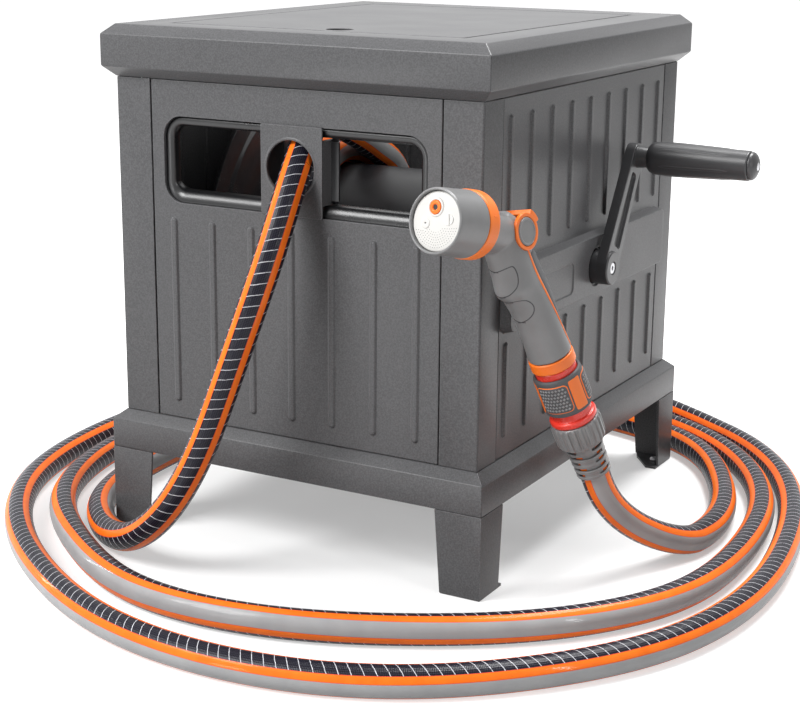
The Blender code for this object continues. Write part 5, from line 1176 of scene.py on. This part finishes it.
def head():
    """The spray head's shell and ring, its face with ports and black dots of painted shade for its small
    holes, and the nozzle with a black disc of painted shade in its bore.
    """
    shell = [
        (0, 38), (24.6, 38), (24.6, 42.3), (25.1, 43), (26.2, 42.9), (26.9, 41.8), (27.1, 39),
        (27.2, 28), (27.4, 20), (27.6, 14), (28, 6.8), (0, 6.8),
    ]
    spun("spray_head", shell, HEAD, "gun_grey", "head", None, 80, soft=0.8)
    band = [(28.1, 6.5), (28.6, 5.5), (28.6, -5.5), (28.1, -6.5), (12.3, -6.5), (12.3, 6.5)]
    ring = Shape().turned(band, None, 80, True, 0.5)
    for k in range(8):
        notch = oval(-0.5, 0.5, 28, 28.9, 0.4, 3)
        ring.plate(notch, -1.8, 1.8, turn(45 * k + 10, "Z"), 0.2)
    piece(ring, "head_ring_fine", HEAD, "orange", "head", "head_ring")

    def dome(x, y):
        r = math.hypot(x, y)
        return float(np.interp(r, (0, 12, 20, 23.6, 24.3), (41.2, 41.0, 40.5, 40.0, 39.2)))

    disc = [
        (0, 41.2), (6, 41.15), (12, 41), (20, 40.5), (23.6, 40), (24.3, 39.2), (24.3, 38.3), (0, 38.3),
    ]
    face = Shape().turned(disc, None, 80, soft=0.5)
    collar = [(5.9, 40), (5.9, 41.6), (6.3, 42), (7.4, 41.9), (8.1, 41.2), (8.1, 40)]
    face.turned(collar, NOZZLE, 40, True, 0.3)
    port = [(0, 41.5), (0.8, 41.5), (1, 41.9), (3.7, 41.9), (4.4, 41.4), (4.4, 40)]
    face.turned(port, move(PORT_X, PORT_Y, 0), 40, soft=0.3)
    half = arc(12.6, 0.4, 4.6, 90, 270, 20)
    face.plate(half + [Vector((13.4, -4.2)), Vector((13.4, 5.0))], 40, 41.6, None, 0.35)
    rest = arc(12.9, 0.4, 4.4, -75, 75, 16)
    face.plate(rest + arc(12.9, 0.4, 3.5, 75, -75, 16), 40, 41.3, None, 0.2)
    piece(face, "spray_face_fine", HEAD, "white", "head", "spray_face")
    # small black discs stand for the holes: painted shade
    holes = Shape()
    for r in range(3, 22, 2):
        count = max(5, int(2 * math.pi * r / 2.3))
        for k in range(count):
            a = 2 * math.pi * k / count
            x, y = r * math.cos(a), r * math.sin(a)
            if y > -5.2 or math.hypot(x - PORT_X, y - PORT_Y) < 5.6 or math.hypot(x - 12.6, y) < 5.8:
                continue
            z = dome(x, y) + 0.03
            holes.turned([(0, z), (0.34, z), (0.34, z - 0.6), (0, z - 0.6)], move(x, y, 0), 10, soft=0.01)
    holes.turned([(0, 41.65), (0.6, 41.65), (0.6, 41), (0, 41)], move(PORT_X, PORT_Y, 0), 12, soft=0.01)
    piece(holes, "face_holes_painted_shade", HEAD, "black_plastic", "head", "spray_face")
    nozzle = [(2.1, 41.2), (2.3, 41.9), (3.0, 42.6), (5.0, 42.6), (5.7, 41.9), (5.7, 38.3), (2.1, 38.3)]
    nozzle = Shape().turned(nozzle, NOZZLE, 40, True, 0.35)
    piece(nozzle, "nozzle_fine", HEAD, "orange", "head", "nozzle_insert")
    # a black disc stands for the dark bore: painted shade
    dark = [(0, 41.5), (2.15, 41.5), (2.15, 41.2), (0, 41.2)]
    dark = Shape().turned(dark, NOZZLE, 20, soft=0.02)
    piece(dark, "nozzle_bore_painted_shade", HEAD, "black_plastic", "head", "nozzle_insert")


# Coupling: the collar's radius where its map is true, its fields' foot, middle level and facing
COLLAR_RADIUS, PAD_RADIUS, COLLAR_MIDDLE = 22, 21.4, 155.5
FACING = math.radians(10)


def wrapped(x, s, r):
    """A point on a cylinder about the handle's axis: arc length from the front, distance down."""
    a = x / COLLAR_RADIUS
    return (r * math.sin(a), -r * math.cos(a), -s)


def pad(shape, x, s, half_x, half_s, corner, rise):
    """A raised field wrapped on the collar."""
    loops = []
    depth = min(half_x, half_s)
    section = [(0, -0.5), (0, 0.3 * rise), (0.03, 0.8 * rise)]
    section += [(share, rise) for share in (0.08, 0.3, 0.55, 0.8, 0.97)]
    for share, height in section:
        d = share * depth
        loop = oval(
            x - half_x + d, x + half_x - d, s - half_s + d, s + half_s - d, max(corner - d, 0.15), 5,
        )
        loops.append([wrapped(p[0], p[1], PAD_RADIUS + height) for p in refined_loop(loop, 60)])
    shape.rings(loops, caps=(False, True))


def refined_loop(loop, count):
    """Evenly spaced points round a closed outline."""
    points = np.array([tuple(p) for p in loop] + [tuple(loop[0])])
    run = run_of(points)
    keep = np.linspace(0, run[-1], count, endpoint=False)
    return list(zip(np.interp(keep, run, points[:, 0]), np.interp(keep, run, points[:, 1])))


def connector():
    """The ring, the coupling, its sliding collar, and the ribbed nut with its slotted sleeve."""
    def down(profile):
        return [(r, -s) for r, s in profile]

    ring = [
        (5, 120.5), (19.4, 120.5), (20.2, 121.5), (20.2, 130.1), (19.4, 131.1), (9, 131.1),
        (9, 147.4), (5, 147.4),
    ]
    spun("gun_inlet_ring", down(ring), HANDLE, "orange", "gun", None, 64, True, 0.7)
    body = [
        (17.6, 131.4), (18.4, 132.4), (18.4, 180.6), (20.4, 181.2), (21.2, 182.4), (21.2, 185.6),
        (20.2, 187.3), (5, 187.3), (5, 147.7), (9.3, 147.7), (9.3, 131.4),
    ]
    spun("connector_body", down(body), HANDLE, "red", "cabinet", None, 64, True, 0.8)
    collar = [
        (18.7, 137.1), (20.4, 137.1), (21.6, 138.4), (21.9, 141), (21.5, 146), (21.4, 155), (21.5, 165),
        (21.9, 170), (21.6, 172.6), (20.4, 173.9), (18.7, 173.9),
    ]
    spun("connector_collar", down(collar), HANDLE, "dark_insert", "collar", None, 72, True, 0.8)
    third = COLLAR_RADIUS * 2 * math.pi / 3
    middle = COLLAR_MIDDLE
    outline, field, studs = Shape(), Shape(), Shape()
    for k in range(3):
        x = COLLAR_RADIUS * FACING + k * third
        pad(outline, x, middle, 15.4, 13.6, 4.5, 0.7)
        pad(field, x, middle, 14.6, 12.8, 3.9, 1.1)
        pad(outline, x + third / 2, middle, 6.2, 14.8, 1.2, 0.7)
        for i in range(-4, 5):
            for j in range(-3, 4):
                cx, cs = x + i * 3.0 + (j % 2) * 1.5, middle + j * 3.3
                if abs(cx - x) > 12.6 or abs(cs - middle) > 10.8:
                    continue
                foot = ((1.4, 0), (0, 1.5), (-1.4, 0), (0, -1.5))
                tip = ((0.5, 0), (0, 0.55), (-0.5, 0), (0, -0.55))
                base = [wrapped(cx + a, cs + b, 22.4) for a, b in foot]
                top = [wrapped(cx + a, cs + b, 22.95) for a, b in tip]
                studs.rings([base, top], caps=(True, True))
    piece(outline, "collar_outline", HANDLE, "orange", "collar", "connector_collar", sharp=50)
    piece(field, "collar_field", HANDLE, "dark_insert", "collar", "connector_collar", sharp=50)
    piece(studs, "collar_studs", HANDLE, "gun_grey", "collar", "connector_collar")

    nut = Shape()
    section = [
        (187.6, 17, 0), (187.6, 20.6, 0), (188.2, 21.2, 0.2), (190.6, 21.5, 1), (207, 21.0, 1),
        (209.4, 20.4, 0.9), (211.4, 19.4, 0.2), (212.4, 18.6, 0), (213.2, 17.2, 0),
        (213.2, 14.2, 0), (187.6, 14.2, 0),
    ]
    steps, ribs = 192, 22
    rings = []
    for s, r, rib_share in section:
        loop = []
        for k in range(steps):
            wave = max(0.0, min(1.0, 0.5 + 1.6 * math.cos(ribs * 2 * math.pi * k / steps)))
            loop.append(polar(r + 1.45 * rib_share * wave, 2 * math.pi * k / steps, -s))
        rings.append(loop)
    nut.rings(rings, loop=True)
    for k in range(5):
        s = 216.2 + 6.3 * k
        r = 16.9 - 0.28 * k
        nut.turned([(r, -s), (r, -s - 3.1), (13.8, -s - 3.1), (13.8, -s)], None, 56, True, 0.7)
    for k in range(5):
        s = 213.0 + 6.3 * k
        r = 16.7 - 0.28 * k
        for turned_by in (0, 180) if k % 2 else (90, 270):
            rows = []
            for a in np.linspace(-26, 26, 9):
                b = math.radians(a + turned_by + 30)
                corners = ((r, -s), (r, -s - 3.6), (13.8, -s - 3.6), (13.8, -s))
                rows.append([polar(radius, b, z) for radius, z in corners])
            nut.rings(rows, caps=(True, True))
    piece(nut, "hose_nut_fine", HANDLE, "gun_grey", "cabinet", "hose_nut")


# Stage


def seen_as(tree, lit, seen, output):
    """Shows one shader to the camera, gloss and glass, while another one lights the scene."""
    rays = add_node(tree, "LightPath").outputs
    looked_at = rays["Is Camera Ray"]
    for kind in ("Is Glossy Ray", "Is Transmission Ray"):
        looked_at = add_node(tree, "Math", {0: looked_at, 1: rays[kind]}, operation="MAXIMUM").outputs[0]
    mixed = add_node(tree, "MixShader", {0: looked_at, 1: lit.outputs[0], 2: seen.outputs[0]})
    tree.links.new(mixed.outputs[0], tree.nodes[output].inputs[0])


def stage():
    """A white surrounding that lights little, and a floor whose glow is darker near the cabinet as painted
    shade round its real shadow, fading to white further out.
    """
    world = bpy.data.worlds.new("world")
    bpy.context.scene.world = world
    world.use_nodes = True
    tree = world.node_tree
    light = tree.nodes["Background"]
    light.inputs["Color"].default_value = (1, 1, 1, 1)
    light.inputs["Strength"].default_value = 0.17
    seen = add_node(tree, "Background", {"Color": (1, 1, 1, 1), "Strength": 1})
    seen_as(tree, light, seen, "World Output")

    mesh = bpy.data.meshes.new("floor")
    size = 30
    corners = [(-size, -size, 0), (size, -size, 0), (size, size, 0), (-size, size, 0)]
    mesh.from_pydata(corners, [], [(0, 1, 2, 3)])
    floor = placed("floor", mesh)
    material = bpy.data.materials.new("floor")
    material.use_nodes = True
    tree = material.node_tree
    tree.nodes.remove(tree.nodes["Principled BSDF"])
    lit, soft = (add_node(tree, "BsdfDiffuse", {"Color": (v, v, v, 1)}) for v in (0.45, 0.62))
    place = add_node(tree, "NewGeometry").outputs["Position"]
    reach = add_node(tree, "VectorMath", {0: place}, operation="LENGTH").outputs["Value"]
    # glow grows with distance from the cabinet: painted shade on the floor near it, plain white far off
    painted_shade_fade = {"Value": reach, "From Min": 0.2, "From Max": 0.75, "To Min": 0.36, "To Max": 0.97}
    painted_shade_fade = add_node(tree, "MapRange", painted_shade_fade, interpolation_type="SMOOTHSTEP").outputs[0]
    glow = add_node(tree, "Emission", {"Color": painted_shade_fade})
    both = add_node(tree, "AddShader", {0: soft.outputs[0], 1: glow.outputs[0]})
    seen_as(tree, lit, both, "Material Output")
    mesh.materials.append(material)


def lamp(name, place, target, power, width, height):
    """A rectangular lamp that faces a target."""
    data = bpy.data.lights.new(name, "AREA")
    data.shape = "RECTANGLE"
    data.size, data.size_y = width, height
    data.energy = power
    obj = placed(name, data)
    obj.location = place
    obj.rotation_euler = (Vector(target) - Vector(place)).to_track_quat("-Z", "Y").to_euler()


stage()
lamp("key", (-1.3, -2.2, 2.4), (0, 0, 0.35), 130, 1.5, 1.5)
lamp("low", (-0.7, -2.5, 0.25), (0.05, 0, 0.42), 8, 0.4, 0.4)
lamp("side", (2.4, -0.9, 1.1), (0.1, 0, 0.25), 11, 0.06, 1.0)
lamp("left", (-2.6, -0.3, 0.9), (0, 0, 0.25), 12, 0.08, 1.2)
lamp("top", (0.3, 0.9, 2.6), (0, 0, 0.3), 96, 1.2, 1.2)
lamp("inside", (-0.05, 0.02, 0.44), (-0.05, 0.02, 0), 0.35, 0.26, 0.3)

cabinet_shell()
hatch()
guide()
reel()
crank()
gun_body()
gun_back()
gun_lines()
lever()
head()
connector()
hoses()

bpy.context.scene.view_settings.view_transform = "Standard"
bpy.context.view_layer.update()
